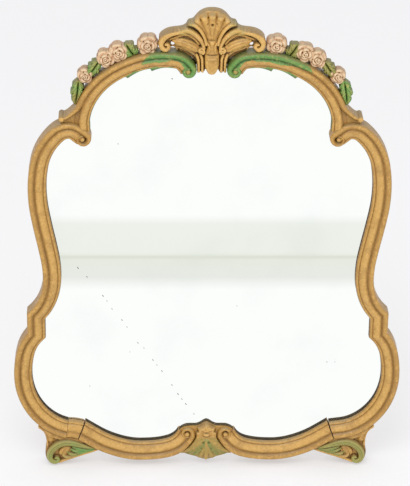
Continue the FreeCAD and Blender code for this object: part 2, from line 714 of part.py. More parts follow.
def crest_solid():
    """Crest: pierced ground, fan of flutes between two bands, wings, neck with its curls, and the drop."""
    wide, tall = size("crest_half_width"), size("crest_height")
    base = place(ARCH_SHARES)[0][1] - size("crest_drop")
    ground, neck = size("crest_ground"), size("neck_depth")
    pieces = [prism(polygon(mirrored_points([(x * wide, base + z * tall) for x, z in CREST_SHARES])), 0, ground)]
    root = base + SHELL_ROOT_SHARE * tall
    for heading, share in SHELL_SHARES:
        pieces.append(flute(0, root, heading, share * (base + tall - root), size("flute_root"),
                            size("flute_width"), 0, size("flute_depth")))
    drop_top = base + size("drop_height")
    pieces.append(swept([(0, root, None, -90), (0, drop_top, -90, None)], rib(size("neck_width"), neck)))
    drop = [(x * size("drop_width"), base + z * size("drop_height")) for x, z in DROP_SHARES]
    small = narrowed(drop, (0, base + size("drop_height") / 2), DROP_TOP_SHARE)
    pieces.append(skin([layer(drop, 0), layer(drop, ground), layer(small, neck)]))
    wing = [(x * wide, base + z * tall, a, b) for x, z, a, b in WING_SHARES]
    horn = [(x * wide, base + z * tall, a, b) for x, z, a, b in HORN_SHARES]
    across, depth, curl = size("wing_round"), size("wing_depth"), size("curl_radius")
    lobe_x, lobe_z, heading, share = LOBE_SHARES
    sided = [swept(wing, rib(across, depth)), boss(wing[-1][0], wing[-1][1], across / 2, 0, depth),
             swept(horn, rib(size("horn_width"), size("flute_depth"))),
             flute(lobe_x * wide, base + lobe_z * tall, heading, share * wide, size("flute_root"),
                   size("lobe_width"), 0, size("lobe_depth")),
             boss(size("drop_width") / 2 + curl, drop_top + curl, curl, 0, neck)]
    for share in PILLAR_SHARES:
        x, foot = share * size("drop_width"), base + CREST_SHARES[0][1] * tall
        line = [(x, foot, None, 90), (x, base + PILLAR_TOP_SHARE * tall, 90, None)]
        sided.append(swept(line, rib(size("pillar_width"), size("pillar_depth"))))
    for piece in sided:
        pieces += both_sides(piece)
    solid = joined(pieces)
    hole = disc(wide * PIERCED_SHARES[0], base + tall * PIERCED_SHARES[1], size("pierced_radius"),
                -size("overrun"), 2 * neck)
    for tool in both_sides(hole) + both_sides(arch_envelope()):
        solid = solid.cut(tool)
    return solid


def foot_solid():
    """Right foot: bracket scribed to the stile and the rail, with a roll that ends in a scroll."""
    wide, tall = size("foot_width"), size("foot_height")
    joint_x, joint_z = place(STILE_LOWER_SHARES)[-1][:2]
    side, base = joint_x + size("foot_reach"), joint_z - size("foot_drop")
    bracket = [(side - x * wide, base + z * tall, a, b) for x, z, a, b in FOOT_SHARES]
    roll = [(side - x * wide, base + z * tall, a, b) for x, z, a, b in FOOT_ROLL_SHARES]
    depth = size("moulding_depth")
    solid = joined([prism(loop_wire(bracket), 0, size("foot_depth")), swept(roll, rib(size("foot_roll"), depth)),
                    boss(roll[-1][0], roll[-1][1], size("foot_scroll"), 0, depth)])
    low_nodes = extended(place(STILE_LOWER_SHARES)[1:], 0, size("stile_width") / 2)
    rail = swept(extended(place(RAIL_SHARES)[:2], size("rail_width") / 2, 0),
                 envelope(size("rail_width"), size("seat_gap")))
    return solid.cut(stile_envelope(low_nodes)).cut(rail)


def garland_point(share, out_share):
    """Point outside the arch at a share of the garland's run, and the arch's heading there."""
    nodes = place(ARCH_SHARES)
    past_rose = size("crest_half_width") + 2 * size("top_rose") - nodes[2][0]
    start = path_length(nodes[:3]) + past_rose
    distance = start + share * (path_length(nodes) - start)
    arcs = path_arcs(nodes)
    while distance > arcs[0][4] and len(arcs) > 1:
        distance -= arcs.pop(0)[4]
    x, z, heading = arc_point(arcs[0], distance)
    return aside(x, z, heading, -out_share * size("arch_width")) + (heading,)


def rose_places(name):
    """Middles of the roses of a piece: x and z."""
    if name == "top_rose":
        x = size("crest_half_width") + size("top_rose") + size("seat_gap")
        return [(x, place(ARCH_SHARES)[2][1] + TOP_ROSE_SHARE * size("arch_width"))]
    return [garland_point(*shares)[:2] for shares in ROSE_SHARES[name]]


def petal_outline(x, z, radius, turn):
    """Outline of a ring of five petals about a centre."""
    points = []
    for petal in range(PETALS):
        for step, share in PETAL_SHARES:
            heading = (petal + step) * 360 / PETALS + turn
            points.append(ahead(x, z, heading, radius * share))
    return points


def rose_solid(name):
    """Rose or pair of roses: three rings of petals and a bud, each ring narrower and higher."""
    radius, low, depth = size(name), size("carving_back"), size("rose_depth")
    whole = []
    for x, z in rose_places(name):
        for ring, (width, edge, high) in enumerate(ROSE_RING_SHARES):
            outline = petal_outline(x, z, radius * width, ring * 180 / PETALS)
            back, top = narrowed(outline, (x, z), ROSE_BACK_SHARE), narrowed(outline, (x, z), ROSE_TOP_SHARE)
            whole.append(skin([layer(back, low), layer(outline, edge * depth), layer(top, high * depth)]))
    ends = rose_places(name)
    if len(ends) > 1:
        heading = math.degrees(math.atan2(ends[1][1] - ends[0][1], ends[1][0] - ends[0][0]))
        stem = [aside(x, z, heading, side * size("stem_width") / 2) for side in (1, -1) for x, z in ends[::side]]
        whole.append(prism(polygon(stem), low, size("leaf_depth")))
    return joined(whole).cut(arch_envelope())


def rose_room(name):
    """Discs that hold the roses, grown by the seat gap."""
    return [disc(x, z, size(name) + size("seat_gap"), -size("overrun"), 2 * size("moulding_depth"))
            for x, z in rose_places(name)]


def leaf_solid(name):
    """Pointed leaf with cut edges, its surface rising to a rib along the middle."""
    length, low, high = size(name + "_length"), size("carving_back"), size("leaf_depth")
    share, out_share, turn, slim = LEAF_SHARES[name]
    x, z, heading = garland_point(share, out_share)
    heading += turn
    edge = high - size("leaf_edge")
    outline, crest = [], []
    for u, v in LEAF_OUTLINE_SHARES:
        on_rib = ahead(x, z, heading, u * length)
        outline.append(aside(on_rib[0], on_rib[1], heading, v * slim * length))
        crest.append(aside(on_rib[0], on_rib[1], heading, v * slim * length * LEAF_RIB_SHARE))
    ear = swept(ear_nodes(), envelope(size("ear_thickness"), size("seat_gap")))
    solid = skin([layer(outline, low), layer(outline, edge), layer(crest, high)]).cut(arch_envelope()).cut(ear)
    for rose in ROSES:
        for room in rose_room(rose):
            solid = solid.cut(room)
    return max(solid.Solids, key=lambda part: part.Volume)


def wedge_prism(grow):
    """Room of the repair wedge at the foot of the left stile, grown by a distance."""
    x, z, heading = knee_joint(size("overrun"))
    half = size("stile_width") / 2 + size("overrun")
    inner, outer = aside(x, z, heading, half), aside(x, z, heading, -half)
    inner_far = ahead(inner[0], inner[1], heading, -size("wedge_top") - size("overrun") - grow)
    outer_far = ahead(outer[0], outer[1], heading, -size("wedge_bottom") - size("overrun") - grow)
    points = [(-px, pz) for px, pz in (inner, inner_far, outer_far, outer)]
    return prism(polygon(points), size("wedge_floor") - grow, 2 * size("moulding_depth"))


def block_solids():
    """Glue blocks along the rebate wall behind the glass, on both sides."""
    long, wide, gap = size("block_length"), size("block_width"), size("seat_gap")
    high = size("rebate_depth") - size("seat_gap") - size("glass_thickness") - gap
    room = prism(ring_wire(rebate_inset() + gap), 0, high)
    arch, stile = ring_runs(rebate_inset())
    blocks = []
    for x, z, heading, _ in (arch[1], arch[3], stile[1], stile[3], stile[6], stile[11]):
        corners = []
        for forward, inward in ((-long / 2, -wide), (long / 2, -wide), (long / 2, wide), (-long / 2, wide)):
            corner = ahead(x, z, heading, forward)
            corners.append(aside(corner[0], corner[1], heading, inward))
        blocks += both_sides(prism(polygon(corners), gap, high).common(room))
    return Part.makeCompound([solid for block in blocks for solid in block.Solids])


def feature(label, shape):
    """Document object that holds a shape of its own."""
    item = doc.addObject("Part::Feature", label)
    item.Label = label
    item.Shape = shape
    item.Placement = FreeCAD.Placement()
    return item


def mirror_image(label, source):
    """Document object that mirrors another to the left side."""
    item = doc.addObject("Part::Mirroring", label)
    item.Label = label
    item.Source = source
    item.Normal = Vector(1, 0, 0)
    return item


def less(label, base, tool):
    """Document object of one object cut by another."""
    item = doc.addObject("Part::Cut", label)
    item.Label = label
    item.Base = base
    item.Tool = tool
    return item


def plate(label, inset, thickness, low):
    """Flat plate along the ring line at an inset, its thickness bound to the sheet."""
    outline = feature(label + "_outline", Part.Face(ring_wire(inset)))
    item = doc.addObject("Part::Extrusion", label)
    item.Label = label
    item.Base = outline
    item.DirMode = "Custom"
    item.Dir = FRONT
    item.Solid = True
    item.setExpression("LengthFwd", "sizes." + thickness)
    item.Placement = FreeCAD.Placement(FRONT * low, FreeCAD.Rotation())
    return item


def sketch_on(body, role, name):
    """Sketch on one of the body's own origin planes."""
    sketch = body.newObject("Sketcher::SketchObject", name)
    plane = next(item for item in body.Origin.OriginFeatures if item.Role == role)
    sketch.AttachmentSupport = [(plane, "")]
    sketch.MapMode = "FlatFace"
    return sketch


def closed_lines(sketch, points):
    """Closed chain of lines through points (x, y), joined at their ends; returns the line numbers."""
    corners = [Vector(x, y, 0) for x, y in points]
    lines = [sketch.addGeometry(Part.LineSegment(a, b), False)
             for a, b in zip(corners, corners[1:] + corners[:1])]
    for first, second in zip(lines, lines[1:] + lines[:1]):
        sketch.addConstraint(Sketcher.Constraint("Coincident", first, 2, second, 1))
    for line, (a, b) in zip(lines, zip(corners, corners[1:] + corners[:1])):
        kind = "Horizontal" if abs(a.y - b.y) < 1e-9 else "Vertical"
        sketch.addConstraint(Sketcher.Constraint(kind, line))
    return lines


def bound_distance(sketch, kind, references, name, expression, value):
    """Dimension of a sketch, bound to the sheet."""
    sketch.addConstraint(Sketcher.Constraint(kind, *references, value))
    sketch.renameConstraint(sketch.ConstraintCount - 1, name)
    sketch.setExpression("Constraints." + name, expression)


def bound_circle(sketch, name, centre, radius, offset):
    """Circle on one of the sketch's axes; centre is (axis, distance) and both sizes are bound to the sheet."""
    axis, distance = centre
    upright = axis == "DistanceY"
    start = Vector(0, -offset, 0) if upright else Vector(offset, 0, 0)
    circle = sketch.addGeometry(Part.Circle(start, Vector(0, 0, 1), 1), False)
    sketch.addConstraint(Sketcher.Constraint("PointOnObject", circle, 3, -2 if upright else -1))
    references = (circle, 3, -1, 1) if upright else (-1, 1, circle, 3)
    if offset:
        bound_distance(sketch, axis, references, name + "_place", distance, offset)
    else:
        sketch.addConstraint(Sketcher.Constraint("PointOnObject", circle, 3, -1 if upright else -2))
    bound_distance(sketch, "Radius", (circle,), name + "_radius", radius, 1)


def padded(body, sketch, length, way):
    """Pad of a sketch whose length is bound to the sheet; way is forward, back or both."""
    pad = body.newObject("PartDesign::Pad", sketch.Name + "_pad")
    pad.Profile = sketch
    pad.SideType = "Symmetric" if way == "both" else "One side"
    pad.Reversed = way == "back"
    pad.setExpression("Length", length)
    return pad


def hanger_plate(label):
    """Strap with a rolled knuckle at its top and two screw holes. It lies on the back of the frame."""
    body = doc.addObject("PartDesign::Body", label)
    body.Label = label
    strap = sketch_on(body, "XZ_Plane", "strap")
    wide, long = size("strap_width"), size("strap_length")
    lines = closed_lines(strap, [(-wide / 2, 0), (wide / 2, 0), (wide / 2, -long), (-wide / 2, -long)])
    strap.addConstraint(Sketcher.Constraint("PointOnObject", lines[0], 1, -1))
    bound_distance(strap, "DistanceX", (lines[0], 1, -1, 1), "half", "sizes.strap_width / 2", wide / 2)
    bound_distance(strap, "DistanceX", (lines[0], 1, lines[0], 2), "width", "sizes.strap_width", wide)
    bound_distance(strap, "DistanceY", (lines[1], 2, lines[1], 1), "length", "sizes.strap_length", long)
    padded(body, strap, "sizes.strap_thickness", "back")
    knuckle = sketch_on(body, "YZ_Plane", "knuckle")
    axis = ("DistanceX", "sizes.knuckle_height")
    bore = "sizes.ring_wire / 2 + sizes.ring_clearance"
    bound_circle(knuckle, "outside", axis, "sizes.knuckle_radius", size("knuckle_height"))
    bound_circle(knuckle, "bore", axis, bore, size("knuckle_height"))
    padded(body, knuckle, "sizes.strap_width", "both")
    holes = sketch_on(body, "XZ_Plane", "screw_holes")
    radius = "sizes.screw_radius + sizes.screw_clearance"
    first, second = size("first_screw"), size("first_screw") + size("screw_pitch")
    bound_circle(holes, "upper", ("DistanceY", "sizes.first_screw"), radius, first)
    bound_circle(holes, "lower", ("DistanceY", "sizes.first_screw + sizes.screw_pitch"), radius, second)
    doc.recompute()
    before = body.Shape.Volume
    pocket = body.newObject("PartDesign::Pocket", "screw_pocket")
    pocket.Profile = holes
    pocket.Type = "ThroughAll"
    doc.recompute()
    if body.Shape.Volume >= before:
        raise RuntimeError("the screw holes cut nothing")
    x, z = hanger_place()
    body.Placement = FreeCAD.Placement(spot(x, z), FreeCAD.Rotation())
    return body


def hanger_ring(label):
    """Ring that hangs from its bar in the knuckle: square arms and a half round bow below."""
    body = doc.addObject("PartDesign::Body", label)
    body.Label = label
    middle, half, drop = size("ring_radius"), size("ring_arm") / 2, size("ring_straight")
    outer, inner = middle + half, middle - half
    bow = sketch_on(body, "XZ_Plane", "bow")
    centre = Vector(0, -drop, 0)
    arcs = [bow.addGeometry(Part.ArcOfCircle(Part.Circle(centre, Vector(0, 0, 1), radius), math.pi, 2 * math.pi),
                            False) for radius in (outer, inner)]
    corners = [(-outer, -drop), (-outer, 0), (-inner, 0), (-inner, -drop),
               (inner, -drop), (inner, 0), (outer, 0), (outer, -drop)]
    lines = [bow.addGeometry(Part.LineSegment(Vector(*a, 0), Vector(*b, 0)), False)
             for a, b in zip(corners, corners[1:]) if a[0] * b[0] > 0]
    for first, end, second, start in (
            (lines[0], 2, lines[1], 1), (lines[1], 2, lines[2], 1), (lines[3], 2, lines[4], 1),
            (lines[4], 2, lines[5], 1), (lines[0], 1, arcs[0], 1), (lines[5], 2, arcs[0], 2),
            (lines[2], 2, arcs[1], 1), (lines[3], 1, arcs[1], 2), (arcs[0], 3, arcs[1], 3)):
        bow.addConstraint(Sketcher.Constraint("Coincident", first, end, second, start))
    for line in (lines[0], lines[2], lines[3], lines[5]):
        bow.addConstraint(Sketcher.Constraint("Vertical", line))
    for line in (lines[1], lines[4]):
        bow.addConstraint(Sketcher.Constraint("Horizontal", line))
        bow.addConstraint(Sketcher.Constraint("PointOnObject", line, 1, -1))
    for arc in arcs:
        bow.addConstraint(Sketcher.Constraint("Horizontal", arc, 1, arc, 3))
        bow.addConstraint(Sketcher.Constraint("Horizontal", arc, 2, arc, 3))
    bow.addConstraint(Sketcher.Constraint("PointOnObject", arcs[0], 3, -2))
    bound_distance(bow, "DistanceY", (arcs[0], 3, -1, 1), "straight", "sizes.ring_straight", drop)
    bound_distance(bow, "Radius", (arcs[0],), "outer", "sizes.ring_radius + sizes.ring_arm / 2", outer)
    bound_distance(bow, "Radius", (arcs[1],), "inner", "sizes.ring_radius - sizes.ring_arm / 2", inner)
    padded(body, bow, "sizes.ring_arm", "both")
    bar = sketch_on(body, "YZ_Plane", "bar")
    bound_circle(bar, "bar", ("DistanceX", "0"), "sizes.ring_wire / 2", 0)
    padded(body, bar, "2 * sizes.ring_radius + sizes.ring_arm", "both")
    x, z = hanger_place()
    body.Placement = FreeCAD.Placement(spot(x, z, -size("knuckle_height")), FreeCAD.Rotation())
    return body


def group(label, items):
    """Document object that holds several others as separate solids."""
    item = doc.addObject("Part::Compound", label)
    item.Label = label
    item.Links = items
    return item


def hanger_screw(number, x, z):
    """Round headed screw through a strap into the stile."""
    face = spot(x, z, -size("strap_thickness"))
    shank = doc.addObject("Part::Prism", f"shank_{number}")
    shank.Polygon = 8
    shank.setExpression("Circumradius", "sizes.screw_radius")
    shank.setExpression("Height", "sizes.screw_length")
    shank.Placement = FreeCAD.Placement(face, FreeCAD.Rotation(Vector(0, 0, 1), FRONT))
    head = doc.addObject("Part::Prism", f"head_{number}")
    head.Polygon = 12
    head.setExpression("Circumradius", "sizes.screw_head")
    head.setExpression("Height", "sizes.screw_head_height")
    head.Placement = FreeCAD.Placement(face, FreeCAD.Rotation(Vector(0, 0, 1), BACK))
    screw = doc.addObject("Part::Fuse", f"screw_{number}")
    screw.Base = shank
    screw.Tool = head
    return screw


def brad(number, x, z):
    """Square brad driven through the panel into the frame."""
    pin = doc.addObject("Part::Box", f"brad_{number}")
    pin.setExpression("Length", "sizes.pin_side")
    pin.setExpression("Width", "sizes.pin_length")
    pin.setExpression("Height", "sizes.pin_side")
    half = size("pin_side") / 2
    corner = Vector(x - half, -size("pin_sink") - size("pin_length"), z - half)
    pin.Placement = FreeCAD.Placement(corner, FreeCAD.Rotation())
    return pin


def with_cuts(shape):
    """Piece of the frame with its rebate and the holes of its fastenings."""
    tools = (rebate(), pin_holes(), tongues(size("tongue_clearance")), screw_holes())
    for tool in tools:
        shape = shape.cut(tool)
    return shape


right_stile = feature("right_stile", with_cuts(stile_solid()))
right_arch = feature("right_arch", with_cuts(arch_solid()))
left_blank = mirror_image("left_stile_blank", right_stile)
wedge_room = feature("wedge_room", wedge_prism(0))
wedge_pocket = feature("wedge_pocket", wedge_prism(size("wedge_gap")))
left_stile = less("left_stile", left_blank, wedge_pocket)
joint_wedge = doc.addObject("Part::Common", "joint_wedge")
joint_wedge.Label = "joint_wedge"
joint_wedge.Base = left_blank
joint_wedge.Tool = wedge_room
left_arch = mirror_image("left_arch", right_arch)

bottom_rail = feature("bottom_rail", with_cuts(rail_solid()))
bottom_palmette = feature("bottom_palmette", palmette_solid())
crest_shell = feature("crest_shell", with_cuts(crest_solid()))
right_foot = feature("right_foot", foot_solid())
left_foot = mirror_image("left_foot", right_foot)
kept = [left_stile, right_stile, left_arch, right_arch, joint_wedge, bottom_rail, bottom_palmette, crest_shell,
        left_foot, right_foot]

for name in ROSES:
    right = feature("right_" + name, rose_solid(name))
    kept += [right, mirror_image("left_" + name, right)]
for name in LEAF_SHARES:
    right = feature("right_" + name, leaf_solid(name))
    kept += [right, mirror_image("left_" + name, right)]

glass_face = size("rebate_depth") - size("seat_gap") - size("glass_thickness")
mirror_plate = plate("mirror_plate", -size("glass_overlap"), "glass_thickness", glass_face)
panel_inset = rebate_inset() - size("panel_overlap")
panel_blank = plate("panel_blank", panel_inset, "panel_thickness", -size("panel_thickness"))
back_panel = less("back_panel", panel_blank, feature("brad_holes", pin_holes()))
panel_brads = group("panel_brads", [brad(i, x, z) for i, (x, z) in enumerate(pin_places())])
glass_blocks = feature("glass_blocks", block_solids())
joint_tongues = feature("joint_tongues", tongues(0))
kept += [mirror_plate, back_panel, panel_brads, glass_blocks, joint_tongues]

right_plate = hanger_plate("right_hanger_plate")
right_ring = hanger_ring("right_hanger_ring")
hanger_screws = group("hanger_screws", [hanger_screw(i, x, z) for i, (x, z) in enumerate(screw_places())])
kept += [right_plate, mirror_image("left_hanger_plate", right_plate), right_ring,
         mirror_image("left_hanger_ring", right_ring), hanger_screws]

doc.recompute()
for item in doc.Objects:
    if "Invalid" in item.State or "Error" in item.State:
        raise RuntimeError(f"{item.Label} did not build: {item.State}")
for item in kept:
    if item.Shape.isNull() or not item.Shape.isValid():
        raise RuntimeError(f"{item.Label} has no valid shape")

os.makedirs("parts", exist_ok=True)
for item in kept:
    item.Shape.exportStep(f"parts/{item.Label}.step")
    print(f"{item.Label}: {len(item.Shape.Solids)} solids, {item.Shape.Volume / 1000:.1f} cm3")
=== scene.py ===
"""Carved and lacquered wall mirror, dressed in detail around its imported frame."""

import json
import logging
import math
from dataclasses import dataclass, field
from enum import Enum
from typing import Callable, Optional, Sequence

import bpy
import numpy as np
from mathutils import Matrix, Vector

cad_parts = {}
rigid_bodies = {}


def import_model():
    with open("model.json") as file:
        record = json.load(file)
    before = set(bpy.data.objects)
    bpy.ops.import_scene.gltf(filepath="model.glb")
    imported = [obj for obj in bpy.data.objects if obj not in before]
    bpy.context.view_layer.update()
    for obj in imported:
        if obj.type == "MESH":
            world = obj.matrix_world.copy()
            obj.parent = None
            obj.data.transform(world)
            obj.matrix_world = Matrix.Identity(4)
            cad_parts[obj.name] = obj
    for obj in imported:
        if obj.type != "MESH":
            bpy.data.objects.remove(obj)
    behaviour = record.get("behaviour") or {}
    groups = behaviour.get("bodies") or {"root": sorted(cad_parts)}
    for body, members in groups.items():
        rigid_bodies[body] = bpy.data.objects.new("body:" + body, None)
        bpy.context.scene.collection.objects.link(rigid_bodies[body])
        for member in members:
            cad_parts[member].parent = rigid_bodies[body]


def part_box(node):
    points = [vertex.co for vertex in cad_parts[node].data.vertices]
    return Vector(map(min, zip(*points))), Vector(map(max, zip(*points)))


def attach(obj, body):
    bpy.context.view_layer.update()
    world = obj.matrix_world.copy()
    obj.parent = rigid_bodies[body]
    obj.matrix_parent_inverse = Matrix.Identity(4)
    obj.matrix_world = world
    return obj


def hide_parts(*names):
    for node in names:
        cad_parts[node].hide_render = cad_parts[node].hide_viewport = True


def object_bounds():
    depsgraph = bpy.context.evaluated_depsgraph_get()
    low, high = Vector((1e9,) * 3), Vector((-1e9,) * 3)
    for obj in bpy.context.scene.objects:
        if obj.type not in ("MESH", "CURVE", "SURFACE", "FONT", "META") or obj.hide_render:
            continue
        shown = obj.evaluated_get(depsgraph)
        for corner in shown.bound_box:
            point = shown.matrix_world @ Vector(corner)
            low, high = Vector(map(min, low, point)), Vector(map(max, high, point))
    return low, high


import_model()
cad_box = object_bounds()

log = logging.getLogger("mirror")

Node = tuple[float, float, Optional[float], Optional[float]]
Field = np.ndarray
Material = bpy.types.Material
Socket = bpy.types.NodeSocket
Tree = bpy.types.NodeTree
Shader = bpy.types.ShaderNode
Pair = tuple[float, float]
Rows = Sequence[Sequence[float]]
Strokes = Sequence[tuple[np.ndarray, float]]

# Sizes are in millimetres where nothing else is said, and this turns them to metres.
MM = 0.001
# Half of the width and the whole height that the paths' shares are taken of.
HALF_WIDTH = 375.0
FRAME_HEIGHT = 800.0
# The frame's back stands this far in front of the wall, with the hangers between.
FRAME_BACK = 5.0
# Heights above the frame's back: crown of the mouldings, lip over the glass and face of the plinth.
DEPTH = 37.0
LIP = 17.2
PLINTH = 22.4
# Gap between a carving and the moulding that it is scribed to.
SEAT = 0.3

# Paths of the mouldings' middle lines: x as a share of the half width, z as a share of the height, and the
# heading in and out in degrees.
ARCH_SHARES = [
    (0.115, 0.445, None, 60), (0.171, 0.4675, 10, 10), (0.28, 0.4688, -6, -6), (0.44, 0.445, -27, -27),
    (0.563, 0.4, -50, -50), (0.635, 0.3288, -80, -80), (0.636, 0.295, -90, None),
]
STILE_UPPER_SHARES = [
    (0.632, 0.2775, None, 38), (0.699, 0.2956, 0, 0), (0.797, 0.2638, -54, -54), (0.86, 0.1475, -90, -90),
    (0.823, 0.0225, -102, -102), (0.792, -0.08, -90, -90), (0.876, -0.1825, -45, None),
]
STILE_BREAK_SHARES = [(0.876, -0.1825, None, -90), (0.876, -0.2338, -90, None)]
STILE_LOWER_SHARES = [
    (0.876, -0.2338, None, -45), (0.948, -0.34, -90, -90), (0.885, -0.4363, -125, -125),
    (0.757, -0.485, -158, -158), (0.651, -0.495, -172, None),
]
RAIL_SHARES = [
    (0.651, -0.4925, None, -146), (0.507, -0.5325, -157, -157), (0.341, -0.55, -180, -180),
    (0.192, -0.5413, 163, 163), (0.101, -0.505, 115, None),
]


class Side(Enum):
    """Half of the mirror, with the sign of its X."""

    LEFT = -1
    RIGHT = 1

    @property
    def word(self) -> str:
        """Word that starts the names of this side's pieces."""
        return self.name.lower()


def direction(heading: float) -> Field:
    """Unit vector (x, z) of a heading in degrees."""
    return np.array([math.cos(math.radians(heading)), math.sin(math.radians(heading))])


def leftward(heading: float) -> Field:
    """Unit vector (x, z) to the left of a heading, which is the frame's outer side."""
    return np.array([-math.sin(math.radians(heading)), math.cos(math.radians(heading))])


def placed(shares: Sequence[Node]) -> list[Node]:
    """Nodes of a path in millimetres from their shares."""
    return [(x * HALF_WIDTH, z * FRAME_HEIGHT, a, b) for x, z, a, b in shares]


class Line:
    """Smooth line of tangent arcs through nodes in the frame's plane."""

    def __init__(self, nodes: Sequence[Node]) -> None:
        """Joins the nodes by pairs of arcs.

        Args:
            nodes: x and z in millimetres, heading in and heading out in degrees.
        """
        self.arcs: list[tuple[float, float, float, float, float]] = []
        for first, second in zip(nodes, nodes[1:]):
            self._biarc(first, second)
        self.length = sum(arc[4] for arc in self.arcs)

    def _biarc(self, first: Node, second: Node) -> None:
        """Adds two tangent arcs from one node to the next.

        Args:
            first: node where they start.
            second: node where they end.
        """
        start, end = np.array(first[:2]), np.array(second[:2])
        t0, t1, v = direction(first[3]), direction(second[2]), end - start
        spread, reach, chord = 2 * (1 - t0 @ t1), v @ (t0 + t1), v @ v
        if spread < 1e-9:
            arm = chord / (2 * reach)
        else:
            arm = (math.sqrt(reach * reach + spread * chord) - reach) / spread
        middle = (start + end + arm * (t0 - t1)) / 2
        heading = first[3]
        for a, b in ((start, middle), (middle, end)):
            d = b - a
            half = (math.degrees(math.atan2(d[1], d[0])) - heading + 180) % 360 - 180
            bend, length = math.radians(half), math.hypot(*d)
            if abs(bend) > 1e-6:
                length *= bend / math.sin(bend)
            self.arcs.append((a[0], a[1], heading, 2 * bend / length, length))
            heading += 2 * half

    def at(self, distance: float) -> tuple[Field, float]:
        """Point and heading at a distance, straight on past either end.

        Args:
            distance: millimetres from the line's start.

        Returns:
            The point (x, z) and the heading in degrees.
        """
        arcs = list(self.arcs)
        while len(arcs) > 1 and distance > arcs[0][4]:
            distance -= arcs.pop(0)[4]
        x, z, heading, curvature, length = arcs[0]
        inside = min(max(distance, 0.0), length)
        half = curvature * inside / 2
        chord = inside if abs(half) < 1e-6 else 2 * math.sin(half) / curvature
        point = np.array([x, z]) + chord * direction(heading + math.degrees(half))
        heading += 2 * math.degrees(half)
        return point + (distance - inside) * direction(heading), heading

    def points(self, step: float = 3.0) -> Field:
        """Points along the line about a step apart."""
        count = max(2, round(self.length / step) + 1)
        return np.array([self.at(s)[0] for s in np.linspace(0, self.length, count)])


def curve(points: Rows, per_span: int = 8, closed: bool = False) -> Field:
    """Catmull-Rom curve through points of any number of columns.

    Args:
        points: rows to pass through.
        per_span: points made for each span.
        closed: whether the last point leads back to the first.

    Returns:
        The rows of the curve.
    """
    p = np.array(points, float)
    if closed:
        p = np.vstack([p[-1], p, p[0], p[1]])
    else:
        p = np.vstack([2 * p[0] - p[1], p, 2 * p[-1] - p[-2]])
    rows = []
    for a, b, c, d in zip(p, p[1:], p[2:], p[3:]):
        for t in np.arange(per_span) / per_span:
            rows.append(0.5 * (2 * b + (c - a) * t + (2 * a - 5 * b + 4 * c - d) * t * t
                               + (3 * b - a - 3 * c + d) * t ** 3))
    if not closed:
        rows.append(p[-2])
    return np.array(rows)


def nearest(where: Field, line: Field) -> tuple[Field, Field, Field]:
    """Nearest points of a polyline.

    Args:
        where: points (n, 2) that are measured.
        line: the polyline's points (m, 2).

    Returns:
        Distance, share of the line's length at the nearest point, and that point, for each row.
    """
    spans = np.linalg.norm(np.diff(line, axis=0), axis=1)
    ends = np.concatenate([[0], np.cumsum(spans)])
    best = np.full(len(where), np.inf)
    share = np.zeros(len(where))
    foot = np.zeros((len(where), 2))
    for i, span in enumerate(spans):
        if span < 1e-9:
            continue
        d = (line[i + 1] - line[i]) / span
        along = np.clip((where - line[i]) @ d, 0, span)
        spot = line[i] + along[:, None] * d
        gap = np.hypot(*(where - spot).T)
        closer = gap < best
        best[closer] = gap[closer]
        share[closer] = (ends[i] + along[closer]) / ends[-1]
        foot[closer] = spot[closer]
    return best, share, foot


def is_inside(where: Field, outline: Field) -> Field:
    """Tells which points lie inside a closed polygon.

    Args:
        where: points (n, 2) that are tested.
        outline: corners of the polygon.

    Returns:
        True for each point inside.
    """
    x, z = where[:, 0], where[:, 1]
    odd = np.zeros(len(where), bool)
    for (ax, az), (bx, bz) in zip(outline, np.roll(outline, -1, axis=0)):
        if az == bz:
            continue
        crosses = (az > z) != (bz > z)
        odd ^= crosses & (x < (bx - ax) * (z - az) / (bz - az) + ax)
    return odd


def ease(value: Field, low: float, high: float) -> Field:
    """Smooth step from 0 at low to 1 at high."""
    t = np.clip((value - low) / (high - low), 0, 1)
    return t * t * (3 - 2 * t)


def shape(x: Field, z: Field, height: Field) -> Field:
    """Vertices in metres from the frame's plane and heights above its back, in millimetres."""
    return np.stack([x, -FRAME_BACK - height, z], axis=-1) * MM


def linked(name: str, data: bpy.types.ID) -> bpy.types.Object:
    """New object in the scene, from its mesh, light or camera."""
    item = bpy.data.objects.new(name, data)
    bpy.context.scene.collection.objects.link(item)
    return item


